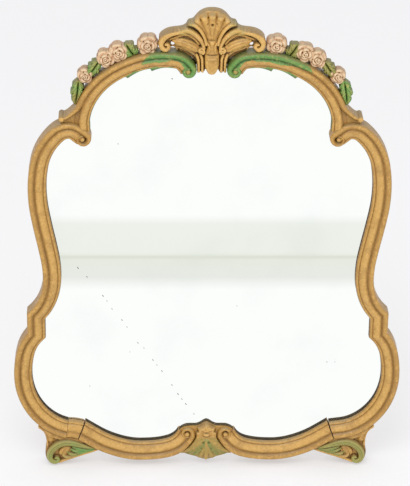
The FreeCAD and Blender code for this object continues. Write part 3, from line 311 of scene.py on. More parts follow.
@dataclass
class Body:
    """Mesh under construction: vertices, faces, layers and material numbers that can be joined up."""

    vertices: list[Field] = field(default_factory=list)
    faces: list[tuple[int, ...]] = field(default_factory=list)
    indices: list[int] = field(default_factory=list)
    layers: dict[str, list[Field]] = field(default_factory=dict)
    count: int = 0

    def add(self, vertices: Field, faces: Sequence[Sequence[int]], layers: dict[str, Field],
            index: int | Sequence[int] = 0) -> None:
        """Adds a part.

        Args:
            vertices: its points (n, 3) in metres.
            faces: its faces, numbered from 0.
            layers: a value for each of its vertices, by layer name.
            index: material number of its faces, or one for each.
        """
        self.vertices.append(vertices)
        self.faces += [tuple(v + self.count for v in f) for f in faces]
        self.indices += [index] * len(faces) if isinstance(index, int) else list(index)
        for name in ("hollow", "green"):
            self.layers.setdefault(name, []).append(layers.get(name, np.zeros(len(vertices))))
        self.count += len(vertices)

    def mirrored(self) -> "Body":
        """Copy on the other side of the mirror's middle."""
        flip = np.array([-1, 1, 1])
        return Body([v * flip for v in self.vertices], [f[::-1] for f in self.faces], list(self.indices),
                    {k: list(v) for k, v in self.layers.items()}, self.count)

    def finish(self, name: str, materials: Sequence[Material], slot: str, sharp: float = 50.0,
               replaces: Sequence[str] = ()) -> bpy.types.Object:
        """Makes the piece and gives it its materials and the body that it moves with.

        Args:
            name: name of the piece.
            materials: its materials, in the order of their numbers.
            slot: the record's material slot; not used.
            sharp: angle in degrees above which an edge is shaded sharp.
            replaces: nodes that the piece stands for.

        Returns:
            The new object.
        """
        mesh = bpy.data.meshes.new(name)
        mesh.from_pydata([tuple(v) for v in np.concatenate(self.vertices)], [], self.faces)
        for material in materials:
            mesh.materials.append(material)
        mesh.polygons.foreach_set("material_index", np.array(self.indices, dtype=np.int32))
        mesh.polygons.foreach_set("use_smooth", np.ones(len(mesh.polygons), bool))
        for layer, values in self.layers.items():
            attribute = mesh.attributes.new(layer, "FLOAT", "POINT")
            attribute.data.foreach_set("value", np.concatenate(values).astype(np.float32))
        mesh.validate(clean_customdata=False)
        mesh.set_sharp_from_angle(angle=math.radians(sharp))
        mesh.update()
        item = linked(name, mesh)
        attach(item, "frame")
        if replaces:
            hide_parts(*replaces)
        log.info("%s: %d vertices, %d faces", name, len(mesh.vertices), len(mesh.polygons))
        return item

    def finish_on(self, side: Side, name: str, node: str, materials: Sequence[Material], slot: str,
                  **options) -> bpy.types.Object:
        """Makes the piece on one side of the mirror from a body built on the right.

        Args:
            side: side of the mirror.
            name: name of the piece, without its side.
            node: node that the piece stands for, without its side.
            materials: its materials.
            slot: the record's material slot.
            **options: other options of finish.

        Returns:
            The new object.
        """
        made = self if side is Side.RIGHT else self.mirrored()
        nodes = [f"{side.word}_{node}"]
        return made.finish(f"{side.word}_{name}", materials, slot, replaces=nodes, **options)


def loft_faces(rows: int, columns: int, wrap: bool, caps: bool) -> list[tuple[int, ...]]:
    """Faces of a grid of rows and columns.

    Args:
        rows: number of rows.
        columns: number of points in a row.
        wrap: whether each row is a closed loop.
        caps: whether the first and last rows are closed off.

    Returns:
        The faces as rows of vertex numbers.
    """
    faces = []
    for i in range(rows - 1):
        for j in range(columns if wrap else columns - 1):
            k = (j + 1) % columns
            faces.append((i * columns + j, i * columns + k, (i + 1) * columns + k, (i + 1) * columns + j))
    if caps:
        faces.append(tuple(range(columns))[::-1])
        faces.append(tuple((rows - 1) * columns + j for j in range(columns)))
    return faces


def prism(outline: Field, first: float, last: float) -> tuple[Field, list]:
    """Vertices and faces of a solid that stands on an outline, from its first height to its last.

    Args:
        outline: closed outline (n, 2) in millimetres.
        first: height of one end.
        last: height of the other.

    Returns:
        The vertices and the faces.
    """
    points = np.vstack([outline, outline])
    heights = np.repeat([first, last], len(outline))
    return shape(points[:, 0], points[:, 1], heights), loft_faces(2, len(outline), True, True)


# Section of the moulding: share of its width from the outer edge, share of its depth, and how deep the glaze
# lies there, which also paints the shade of the grooves. The roll is the outer bead with the groove beside
# it, the band is the rest up to the sight edge.
ROLL_END = 0.355
ROLL_SECTION = [
    (0, 0.4, 0.7), (0, 0.62, 0.62), (0, 0.76, 0.55), (0.006, 0.84, 0.5), (0.022, 0.9, 0.45),
    (0.05, 0.955, 0.38), (0.09, 0.985, 0.32), (0.13, 1, 0.26), (0.17, 0.998, 0.28), (0.21, 0.985, 0.34),
    (0.245, 0.963, 0.42), (0.28, 0.935, 0.56), (0.31, 0.905, 0.7), (0.335, 0.885, 0.82),
    (ROLL_END, 0.875, 0.88),
]
BAND_SECTION = [
    (ROLL_END, 0.875, 0.88), (0.375, 0.878, 0.8), (0.4, 0.892, 0.62), (0.43, 0.912, 0.42),
    (0.465, 0.93, 0.26), (0.5, 0.94, 0.14), (0.55, 0.93, 0.08), (0.6, 0.908, 0.08), (0.65, 0.88, 0.1),
    (0.7, 0.848, 0.12),
    (0.75, 0.815, 0.2), (0.785, 0.79, 0.36), (0.805, 0.77, 0.55), (0.822, 0.75, 0.8), (0.835, 0.75, 0.75),
    (0.85, 0.764, 0.45), (0.875, 0.775, 0.22), (0.91, 0.765, 0.18), (0.94, 0.732, 0.32), (0.965, 0.69, 0.5),
    (0.985, 0.645, 0.66), (1, 0.605, 0.8),
]


@dataclass
class Stations:
    """Cross lines of a moulding: its outer point, its inner point and the distance along its path."""

    outer: list[Field] = field(default_factory=list)
    inner: list[Field] = field(default_factory=list)
    distance: list[float] = field(default_factory=list)

    def extend(self, other: "Stations") -> None:
        """Adds another run's cross lines, from its second on.

        Args:
            other: the run that follows.
        """
        self.outer += other.outer[1:]
        self.inner += other.inner[1:]
        self.distance += other.distance[1:]


def run(line: Line, width: float, start_skew: Pair = (0, 0), end_skew: Pair = (0, 0), step: float = 2.5,
        ramp: float = 34.0, first: float = 0.0) -> Stations:
    """Cross lines along a path, turned near its ends to meet a mitre.

    Args:
        line: middle line of the moulding.
        width: outer edge to sight edge.
        start_skew: how far along the path the outer and the inner point are moved at its start.
        end_skew: the same at its end.
        step: distance between cross lines.
        ramp: distance over which the turn fades.
        first: distance along the whole moulding at which this path starts.

    Returns:
        The cross lines.
    """
    made = Stations()
    count = max(3, round(line.length / step) + 1)
    fade = min(ramp, line.length / 2)
    for s in np.linspace(0, line.length, count):
        at_start = max(0.0, 1 - s / fade)
        at_end = max(0.0, 1 - (line.length - s) / fade)
        for side, rows in ((0, made.outer), (1, made.inner)):
            point, heading = line.at(s + start_skew[side] * at_start + end_skew[side] * at_end)
            rows.append(point + (0.5 - side) * width * leftward(heading))
        made.distance.append(first + s)
    return made


def mitre_skew(width: float, turn: float) -> Pair:
    """How far past a corner the outer and the inner point lie, for a left turn in degrees."""
    reach = width / 2 * math.tan(math.radians(turn) / 2)
    return -reach, reach


Foliage = Callable[[Field, Field], tuple[Field, Field, Field]]


def strip(stations: Stations, section: Sequence[tuple[float, float, float]], width: float, floor: float,
          step_back: float = 0.0, foliage: Optional[Foliage] = None) -> tuple[Field, list, dict, list[int]]:
    """Solid of a section along cross lines, closed at its back and ends.

    Args:
        stations: the cross lines.
        section: share across, share of the depth, and glaze with painted shade, for each point.
        width: width of the whole moulding.
        floor: height of the solid's back.
        step_back: width of the rebate under its inner edge.
        foliage: rise in millimetres, green share and reach past the sight edge that leaves add, by distance
            and share across.

    Returns:
        Vertices, faces, layers and material numbers, for Body.add.
    """
    across = [s[0] for s in section]
    tail = [(across[-1], floor), (across[0], floor)]
    if step_back:
        under = across[-1] - step_back / width
        tail = [(across[-1], LIP), (under, LIP), (under, floor), (across[0], floor)]
    a = np.array(across + [t[0] for t in tail])
    h = np.array([s[1] * DEPTH for s in section] + [t[1] for t in tail])
    # How deep the glaze and the painted shade lie: from the section, and 0.8 on the rebate, the back and the
    # ends.
    hollow = np.array([s[2] for s in section] + [0.8] * len(tail))
    outer, inner = np.array(stations.outer), np.array(stations.inner)
    count, columns = len(outer), len(a)
    spread = np.broadcast_to(a, (count, columns)).copy()
    high = np.broadcast_to(h, (count, columns)).copy()
    deep = np.broadcast_to(hollow, (count, columns)).copy()
    green = np.zeros((count, columns))
    if foliage is not None:
        s = np.broadcast_to(np.array(stations.distance)[:, None], (count, columns))
        rise, green, reach = foliage(s, spread)
        top = np.arange(columns) < len(section)
        high += rise * (np.minimum(1, h / (0.5 * DEPTH)) * top)
        spread += reach / width * (np.arange(columns) <= len(section)) * ease(a, 0.93, 1.0)
        green = green * (np.arange(columns) <= len(section))
    spot = outer[:, None] + (inner - outer)[:, None] * spread[..., None]
    vertices = shape(spot[..., 0], spot[..., 1], high).reshape(-1, 3)
    numbers = np.zeros((count - 1, columns), int)
    numbers[:, columns - 2] = 1
    if step_back:
        numbers[:, len(section) - 1] = 2
    indices = list(numbers.ravel()) + [1, 1]
    layers = {"hollow": deep.ravel(), "green": green.ravel()}
    return vertices, loft_faces(count, columns, True, True), layers, indices


def lowering(drop: float, start: float, end: float) -> Foliage:
    """Fall of a moulding's face towards its end, but not of its sight edge.

    Args:
        drop: how far the face falls, in millimetres.
        start: distance along the path at which the fall starts.
        end: distance at which it ends.

    Returns:
        The fall, for strip.
    """
    def fall(distance: Field, across: Field) -> tuple[Field, Field, Field]:
        """Fall at each point, with no green and no reach."""
        share = ease(distance, start, end) * (1 - ease(across, 0.72, 0.97))
        return -drop * share, np.zeros_like(distance), np.zeros_like(distance)
    return fall


@dataclass
class Volute:
    """Scroll that ends a moulding: its roll winds round the end of the middle line into a bead."""

    centre: Field  # End of the moulding's middle line (x, z).
    heading: float  # Direction in which the moulding runs on past it.
    width: float  # Width of the moulding.
    turn: int  # 1 where the roll winds to the right of its heading, and -1 where it winds to the left.
    eye: float = 4.2  # Radius of the bead.
    sweep: float = 335.0  # Degrees through which the roll winds.
    shrink: float = 0.56  # Share of its radius that the roll loses on the way.
    floor: float = 22.0  # Height of the hollow inside the roll.
    back: float = LIP  # Height of the scroll's back.
    green: bool = False  # Whether it is painted as a leaf.
    tighten: float = 1.2  # How late the roll closes in.
    drop: float = 0.0  # How much lower than the moulding it is carved.

    def radius(self, angle: Field) -> Field:
        """Outer radius of the roll after an angle in degrees."""
        return self.width / 2 * (1 - self.shrink * (np.clip(angle, 0, 400) / self.sweep) ** self.tighten)

    def roll_width(self, angle: Field) -> Field:
        """Width of the roll, which a painted leaf makes fuller.

        Args:
            angle: degrees from where the roll leaves the moulding.

        Returns:
            The width in millimetres.
        """
        start = ROLL_END * self.width
        widths = [13.6, 12.0, 9.4, 7.0, 5.4] if self.green else [0.78 * start, 8.0, 7.0, 5.6, 4.4]
        return np.interp(angle, [0, 45, 110, 190, 270, self.sweep], [start] + widths)

    def ray(self, angle: float) -> Field:
        """Direction from the centre after an angle: outer side first, then round the end."""
        return direction(self.heading + self.turn * (90 - angle))

    def build(self, body: Body) -> None:
        """Adds roll, hollow floor and bead.

        Args:
            body: body that gets them.
        """
        made = Stations()
        for angle in np.arange(0, self.sweep + 1, 6.0):
            ray, radius = self.ray(angle), float(self.radius(angle))
            made.outer.append(self.centre + radius * ray)
            made.inner.append(self.centre + (radius - float(self.roll_width(angle)) / ROLL_END) * ray)
            made.distance.append(0.0)
        vertices, faces, layers, numbers = strip(made, ROLL_SECTION, self.width, self.back, 0.0,
                                                 lowering(self.drop, -2.0, -1.0))
        if self.green:
            layers["green"] = np.where(layers["hollow"] < 0.72, 0.95, 0.7)
        if self.turn < 0:
            faces = [f[::-1] for f in faces]
        body.add(vertices, faces, layers, numbers)
        self._floor(body)
        self._bead(body)

    def _floor(self, body: Body) -> None:
        """Adds the floor inside the roll.

        Args:
            body: body that gets it.
        """
        angles = np.arange(0, 360, 10.0)
        reach = np.array([float(self.radius(a) - self.roll_width(a) * 0.6) if a <= self.sweep else
                          self.width / 2 - 5 for a in angles])
        rim = np.array([self.centre + r * self.ray(a) for a, r in zip(angles, reach)])
        vertices, faces = prism(rim, self.floor, self.back)
        if self.turn > 0:
            faces = [f[::-1] for f in faces]
        green = np.full(len(vertices), 0.45 if self.green else 0.0)
        # The floor inside the roll takes the full glaze and painted shade.
        body.add(vertices, faces, {"hollow": np.ones(len(vertices)), "green": green})

    def _bead(self, body: Body) -> None:
        """Adds the round bead in the middle.

        Args:
            body: body that gets it.
        """
        end = float(self.radius(self.sweep)) - float(self.roll_width(self.sweep)) * 0.7
        centre = self.centre + max(0.0, end - self.eye) * self.ray(self.sweep)
        green = 0.42 if self.green else 0.0
        add_ball(body, centre, self.eye, self.floor, DEPTH + 1.0 - self.drop, 0.1, green)


def add_ball(body: Body, centre: Field, radius: float, low: float, top: float, glaze_and_shade: float = 0.1,
             green: float = 0.0) -> None:
    """Adds a round-topped knob.

    Args:
        body: body that gets it.
        centre: its middle (x, z).
        radius: its radius.
        low: height of its foot.
        top: height of its top.
        glaze_and_shade: how deep the glaze and the painted shade lie on its top.
        green: how green it is.
    """
    rows = [(1, low, 1.0), (1, top - radius, 0.7), (0.98, top - 0.7 * radius, 0.45),
            (0.88, top - 0.42 * radius, 0.3), (0.7, top - 0.2 * radius, glaze_and_shade),
            (0.45, top - 0.06 * radius, glaze_and_shade), (0.15, top, glaze_and_shade)]
    turns = np.radians(np.arange(0, 360, 15))
    share, height, deep = np.repeat(np.array(rows, float), len(turns), axis=0).T
    x = centre[0] + share * radius * np.tile(np.cos(turns), len(rows))
    z = centre[1] + share * radius * np.tile(np.sin(turns), len(rows))
    body.add(shape(x, z, height), loft_faces(len(rows), len(turns), True, True),
             {"hollow": deep, "green": np.full(len(x), green)})


@dataclass(frozen=True)
class ArchFoliage:
    """Painted leaf that lies on the arch beside its volute, with a tongue and two frayed tips below."""

    rim: tuple[Pair, ...]  # Outer edge of the tongue, as distance along the arch and share across it.
    low: tuple[Pair, ...]  # Its inner edge.
    # Where each frayed tip ends, how long it is and how far it reaches past the sight edge.
    tips: tuple[tuple[float, float, float], ...] = ((79, 34, 6), (132, 40, 5))

    def __call__(self, distance: Field, across: Field) -> tuple[Field, Field, Field]:
        """Shape of the leaf.

        Args:
            distance: millimetres from the volute.
            across: share of the arch's width from its outer edge.

        Returns:
            Rise in millimetres, green share, and reach past the sight edge in millimetres.
        """
        wave = 0.03 * np.sin(distance / 6.5) + 0.015 * np.sin(distance / 2.3)
        rim = np.interp(distance, *zip(*self.rim)) + wave
        low = np.interp(distance, *zip(*self.low)) + wave
        tongue = ease(across - rim, 0, 0.06) * ease(low - across, 0, 0.05) * (distance < self.low[-1][0])
        vein = np.exp(-((across - 0.17 - 0.02 * np.sin(distance / 9)) / 0.018) ** 2) * tongue
        under = ease(across, 0.93, 0.975) * ease(-distance, -345, -230)
        fringe = ease(across - wave, 0.86, 0.91) * ease(distance, 24, 38) * ease(-distance, -150, -120)
        reach = np.zeros_like(distance)
        for tip, length, out in self.tips:
            share = (distance - tip + length) / length
            reach = np.maximum(reach, np.where((share > 0) & (share < 1), out * share ** 1.5, 0))
        green = np.clip(np.maximum.reduce([tongue, 0.85 * fringe, 0.7 * under]), 0, 1)
        return 0.9 * tongue * (across > 0.03) - 0.5 * vein + 0.5 * fringe * (across < 0.97), green, reach


FOLIAGE = {
    Side.LEFT: ArchFoliage(
        rim=((0, -0.2), (62, -0.2), (77, 0), (88, 0.26), (98, 0.52)),
        low=((0, 0.64), (18, 0.52), (36, 0.44), (46, 0.5), (60, 0.58), (80, 0.58), (92, 0.52), (102, 0.4))),
    Side.RIGHT: ArchFoliage(
        rim=((0, -0.2), (132, -0.2), (150, 0.2), (156, 0.4)),
        low=((0, 0.64), (22, 0.5), (40, 0.44), (57, 0.5), (82, 0.58), (112, 0.45), (132, 0.33),
             (154, 0.26))),
}


@dataclass
class Mouldings:
    """The frame's mouldings: arches with their ears, stiles with their break, and the bottom rail."""

    finishes: "Finishes"
    arch_width: float = 32.0  # Outer edge to sight edge of an arch.
    stile_width: float = 35.0  # The same for a stile.
    rail_width: float = 38.0  # The same for the rail.
    rebate: float = 8.0  # Width of the step that holds the glass.
    break_turn: float = 45.0  # Turn of the stile at its mitred break, in degrees.
    joint_turn: float = 26.0  # Turn between stile and rail at their joint, in degrees.
    gap: Pair = (1.3, 1.7)  # How far each end stays back from the joint, at its outer and inner point.
    wedge_gap: Pair = (1.2, 2.4)  # The same for the rail beside the wedge.
    wedge_reach: Pair = (22.6, 34.6)  # The same for the stile beside the wedge.
    fade: float = 90.0  # Length of stile over which its cross lines turn to the joint.
    short_fade: float = 18.0  # The same on the short piece between the two mitres.
    ear_start: float = 52.0  # Length of the arch's end along which the roll has left it for the ear.
    ear_tip: float = 6.0  # Width of the ear's roll at its tip.
    rail_drop: float = 6.5  # How much lower than the mouldings the rail's volutes are carved.
    rail_fall: float = 42.0  # Length along which the rail's face falls to them.

    def __post_init__(self) -> None:
        """Lays out the paths of the right side."""
        self.materials = [self.finishes.gold, self.finishes.bare_wood, self.finishes.wall]
        self.arch = Line(placed(ARCH_SHARES))
        self.upper = Line(placed(STILE_UPPER_SHARES))
        self.middle = Line(placed(STILE_BREAK_SHARES))
        self.lower = Line(placed(STILE_LOWER_SHARES))
        self.rail = Line(placed(RAIL_SHARES))

    def joint_skew(self, side: Side, width: float, after: int) -> Pair:
        """Skew of the end at the joint between stile and rail.

        Args:
            side: side of the mirror, since the wedge sits on the left.
            width: width of the moulding.
            after: 1 for the rail, which starts there, and -1 for the stile, which ends there.

        Returns:
            How far the outer and the inner point are moved along the path.
        """
        gaps = self.gap if side is Side.RIGHT else self.wedge_gap if after > 0 else self.wedge_reach
        reach = width / 2 * math.tan(math.radians(self.joint_turn) / 2)
        return (after * (gaps[0] + reach), after * (gaps[1] - reach))

    def build_arch(self, side: Side) -> None:
        """Builds one arch with its volute beside the crest and its ear.

        Args:
            side: side of the mirror.
        """
        body = Body()
        whole = run(self.arch, self.arch_width)
        body.add(*strip(whole, BAND_SECTION, self.arch_width, 0.0, self.rebate, FOLIAGE[side]))
        split = next(i for i, s in enumerate(whole.distance) if s > self.arch.length - self.ear_start)
        roll = Stations(whole.outer[:split], whole.inner[:split], whole.distance[:split])
        knob = self._ear(roll)
        body.add(*strip(roll, ROLL_SECTION, self.arch_width, 0.0, 0.0, FOLIAGE[side]))
        # Where the roll has left the arch, a low plain face takes its place.
        plain = [(0.02, 0.3, 0.9), (0.02, 0.66, 0.8), (0.1, 0.7, 0.6), (0.22, 0.71, 0.5),
                 (0.33, 0.74, 0.5), (0.4, 0.79, 0.7)]
        rest = Stations(whole.outer[split - 1:], whole.inner[split - 1:], whole.distance[split - 1:])
        body.add(*strip(rest, plain, self.arch_width, 0.0))
        # A web of wood fills the corner between the arch, its ear and the stile.
        web = np.array([(250, 236), (268, 236), (276, 248), (278, 259), (268, 263), (259, 267), (253, 275),
                        (247, 288), (244, 276), (244, 252)], float)
        Relief(scribed(web, [(self.upper.points(), self.stile_width)]), 25.5).build(body)
        add_ball(body, knob, 5.4, 0.0, 38.5, 0.05)
        centre, heading = self.arch.at(0)
        Volute(centre, heading + 180, self.arch_width, -1, 4.6, green=True).build(body)
        body.finish_on(side, "arch_moulding", "arch", self.materials, "gold_lacquer")

    def _ear(self, roll: Stations) -> Field:
        """Leads the arch's roll away along its ear.

        Args:
            roll: cross lines of the roll, which get the ear's.

        Returns:
            Middle of the knob at its tip.
        """
        last, before = np.array(roll.outer[-1]), np.array(roll.outer[-2])
        toward = roll.inner[-1] - last
        start = last + toward * ROLL_END / 2
        d = last - before
        line = Line([(start[0], start[1], None, math.degrees(math.atan2(d[1], d[0]))),
                     (262, 267.5, -38, -38), (275.5, 262.8, -4, None)])
        for s in np.linspace(0, line.length, 22)[1:]:
            share = s / line.length
            point, heading = line.at(s)
            half = (ROLL_END * self.arch_width * (1 - share) + self.ear_tip * share) / 2
            normal = leftward(heading)
            roll.outer.append(point + half * normal)
            roll.inner.append(point + half * normal - 2 * half / ROLL_END * normal)
            roll.distance.append(roll.distance[-1] + s)
        return line.at(line.length)[0]

    def build_stile(self, side: Side) -> None:
        """Builds one stile from its volute through the mitred break to the joint with the rail.

        Args:
            side: side of the mirror.
        """
        body, width = Body(), self.stile_width
        mitre, back_mitre = mitre_skew(width, -self.break_turn), mitre_skew(width, self.break_turn)
        stations = run(self.upper, width, end_skew=mitre)
        first = self.upper.length
        stations.extend(run(self.middle, width, (-mitre[0], -mitre[1]), back_mitre, ramp=self.short_fade,
                            first=first))
        first += self.middle.length
        stations.extend(run(self.lower, width, (-back_mitre[0], -back_mitre[1]),
                            self.joint_skew(side, width, -1), ramp=self.fade, first=first))
        body.add(*strip(stations, BAND_SECTION, width, 0.0, self.rebate))
        body.add(*strip(stations, ROLL_SECTION, width, 0.0))
        if side is Side.LEFT:
            # Under the wedge the stile's back half still runs on to the joint.
            seat = [(0, 0.3, 0.9), (0, 0.48, 0.9), (0.5, 0.48, 0.9), (1, 0.48, 0.9)]
            body.add(*strip(self._between(0.02, 0), seat, width, 0.0, self.rebate))
        centre, heading = self.upper.at(0)
        Volute(centre, heading + 180, width, -1).build(body)
        body.finish_on(side, "stile_moulding", "stile", self.materials, "gold_lacquer")

    def build_rail(self) -> None:
        """Builds both runs of the bottom rail and the plinth between them that carries the palmette."""
        whole = Body()
        for side in Side:
            body = Body()
            stations = run(self.rail, self.rail_width, self.joint_skew(side, self.rail_width, 1))
            fall = lowering(self.rail_drop, self.rail.length - self.rail_fall, self.rail.length)
            body.add(*strip(stations, BAND_SECTION, self.rail_width, 0.0, self.rebate, fall))
            body.add(*strip(stations, ROLL_SECTION, self.rail_width, 0.0, 0.0, fall))
            centre, heading = self.rail.at(self.rail.length)
            Volute(centre, heading, self.rail_width, 1, 4.6, floor=23.6, back=0.0, tighten=0.62,
                   drop=self.rail_drop).build(body)
            part = body if side is Side.RIGHT else body.mirrored()
            layers = {k: np.concatenate(v) for k, v in part.layers.items()}
            whole.add(np.concatenate(part.vertices), part.faces, layers, part.indices)
        # Between the runs a block carries the plinth, whose edge shows as a dark line under the palmette.
        core = [(0, -454), (18, -454), (50, -447.2), (30, -406.4), (17, -386)]
        ledge = [(0, -452), (20, -450), (48, -442), (56, -430), (58, -414), (57.4, -407), (54.8, -399.8),
                 (49, -393), (41, -389.2), (32, -387.8), (23, -387.8), (17.5, -387), (11, -383.8),
                 (5, -379.6), (0, -377.8)]
        self._slab(whole, both(core), 0.0, LIP + 0.2, 1)
        self._slab(whole, curve(both(ledge), 3, closed=True), LIP + 0.1, PLINTH, 2)
        whole.finish("rail_moulding", self.materials, "gold_lacquer", replaces=["bottom_rail"])

    @staticmethod
    def _slab(body: Body, outline: Field, low: float, high: float, side: int) -> None:
        """Adds a flat slab.

        Args:
            body: body that gets it.
            outline: its outline in millimetres.
            low: height of its back.
            high: height of its face.
            side: material number of its edge.
        """
        vertices, faces = prism(outline, low, high)
        numbers = [side] * (len(faces) - 2) + [1, 0]
        body.add(vertices, faces, {"hollow": np.full(len(vertices), 0.25)}, numbers)

    def _between(self, gap: float, bow: float) -> Stations:
        """Cross lines between the end of the left stile and its joint with the rail.

        Args:
            gap: distance kept from both.
            bow: how far the lines bulge at half way.

        Returns:
            The cross lines, on the right side.
        """
        stile = run(self.lower, self.stile_width, end_skew=self.joint_skew(Side.LEFT, self.stile_width, -1),
                    ramp=self.fade)
        skew = self.joint_skew(Side.RIGHT, self.stile_width, -1)
        joint = run(self.lower, self.stile_width, end_skew=(skew[0] + 0.6, skew[1] + 1.2))
        made = Stations()
        for share in np.linspace(0, 1, 12):
            for rows, first, last in ((made.outer, stile.outer[-1], joint.outer[-1]),
                                      (made.inner, stile.inner[-1], joint.inner[-1])):
                along = (last - first) / np.linalg.norm(last - first)
                start, end = first + gap * along, last - gap * along
                rows.append(start * (1 - share) + end * share
                            + bow * math.sin(math.pi * share) * np.array([along[1], -along[0]]))
            made.distance.append(0.0)
        return made

    def build_wedge(self) -> None:
        """Builds the repair wedge let in across the lower left joint."""
        # The let-in piece was cut flatter than the moulding and only roughly painted over.
        worn = [(a, h - 0.02 - 0.45 * max(0, h - 0.84), 0.1 + 0.5 * g)
                for a, h, g in ROLL_SECTION[3:-1] + BAND_SECTION[1:]]
        body = Body()
        body.add(*strip(self._between(0.5, 1.2), worn, self.stile_width, 18.0))
        body.mirrored().finish("repair_wedge", self.materials, "gold_lacquer", replaces=["joint_wedge"])


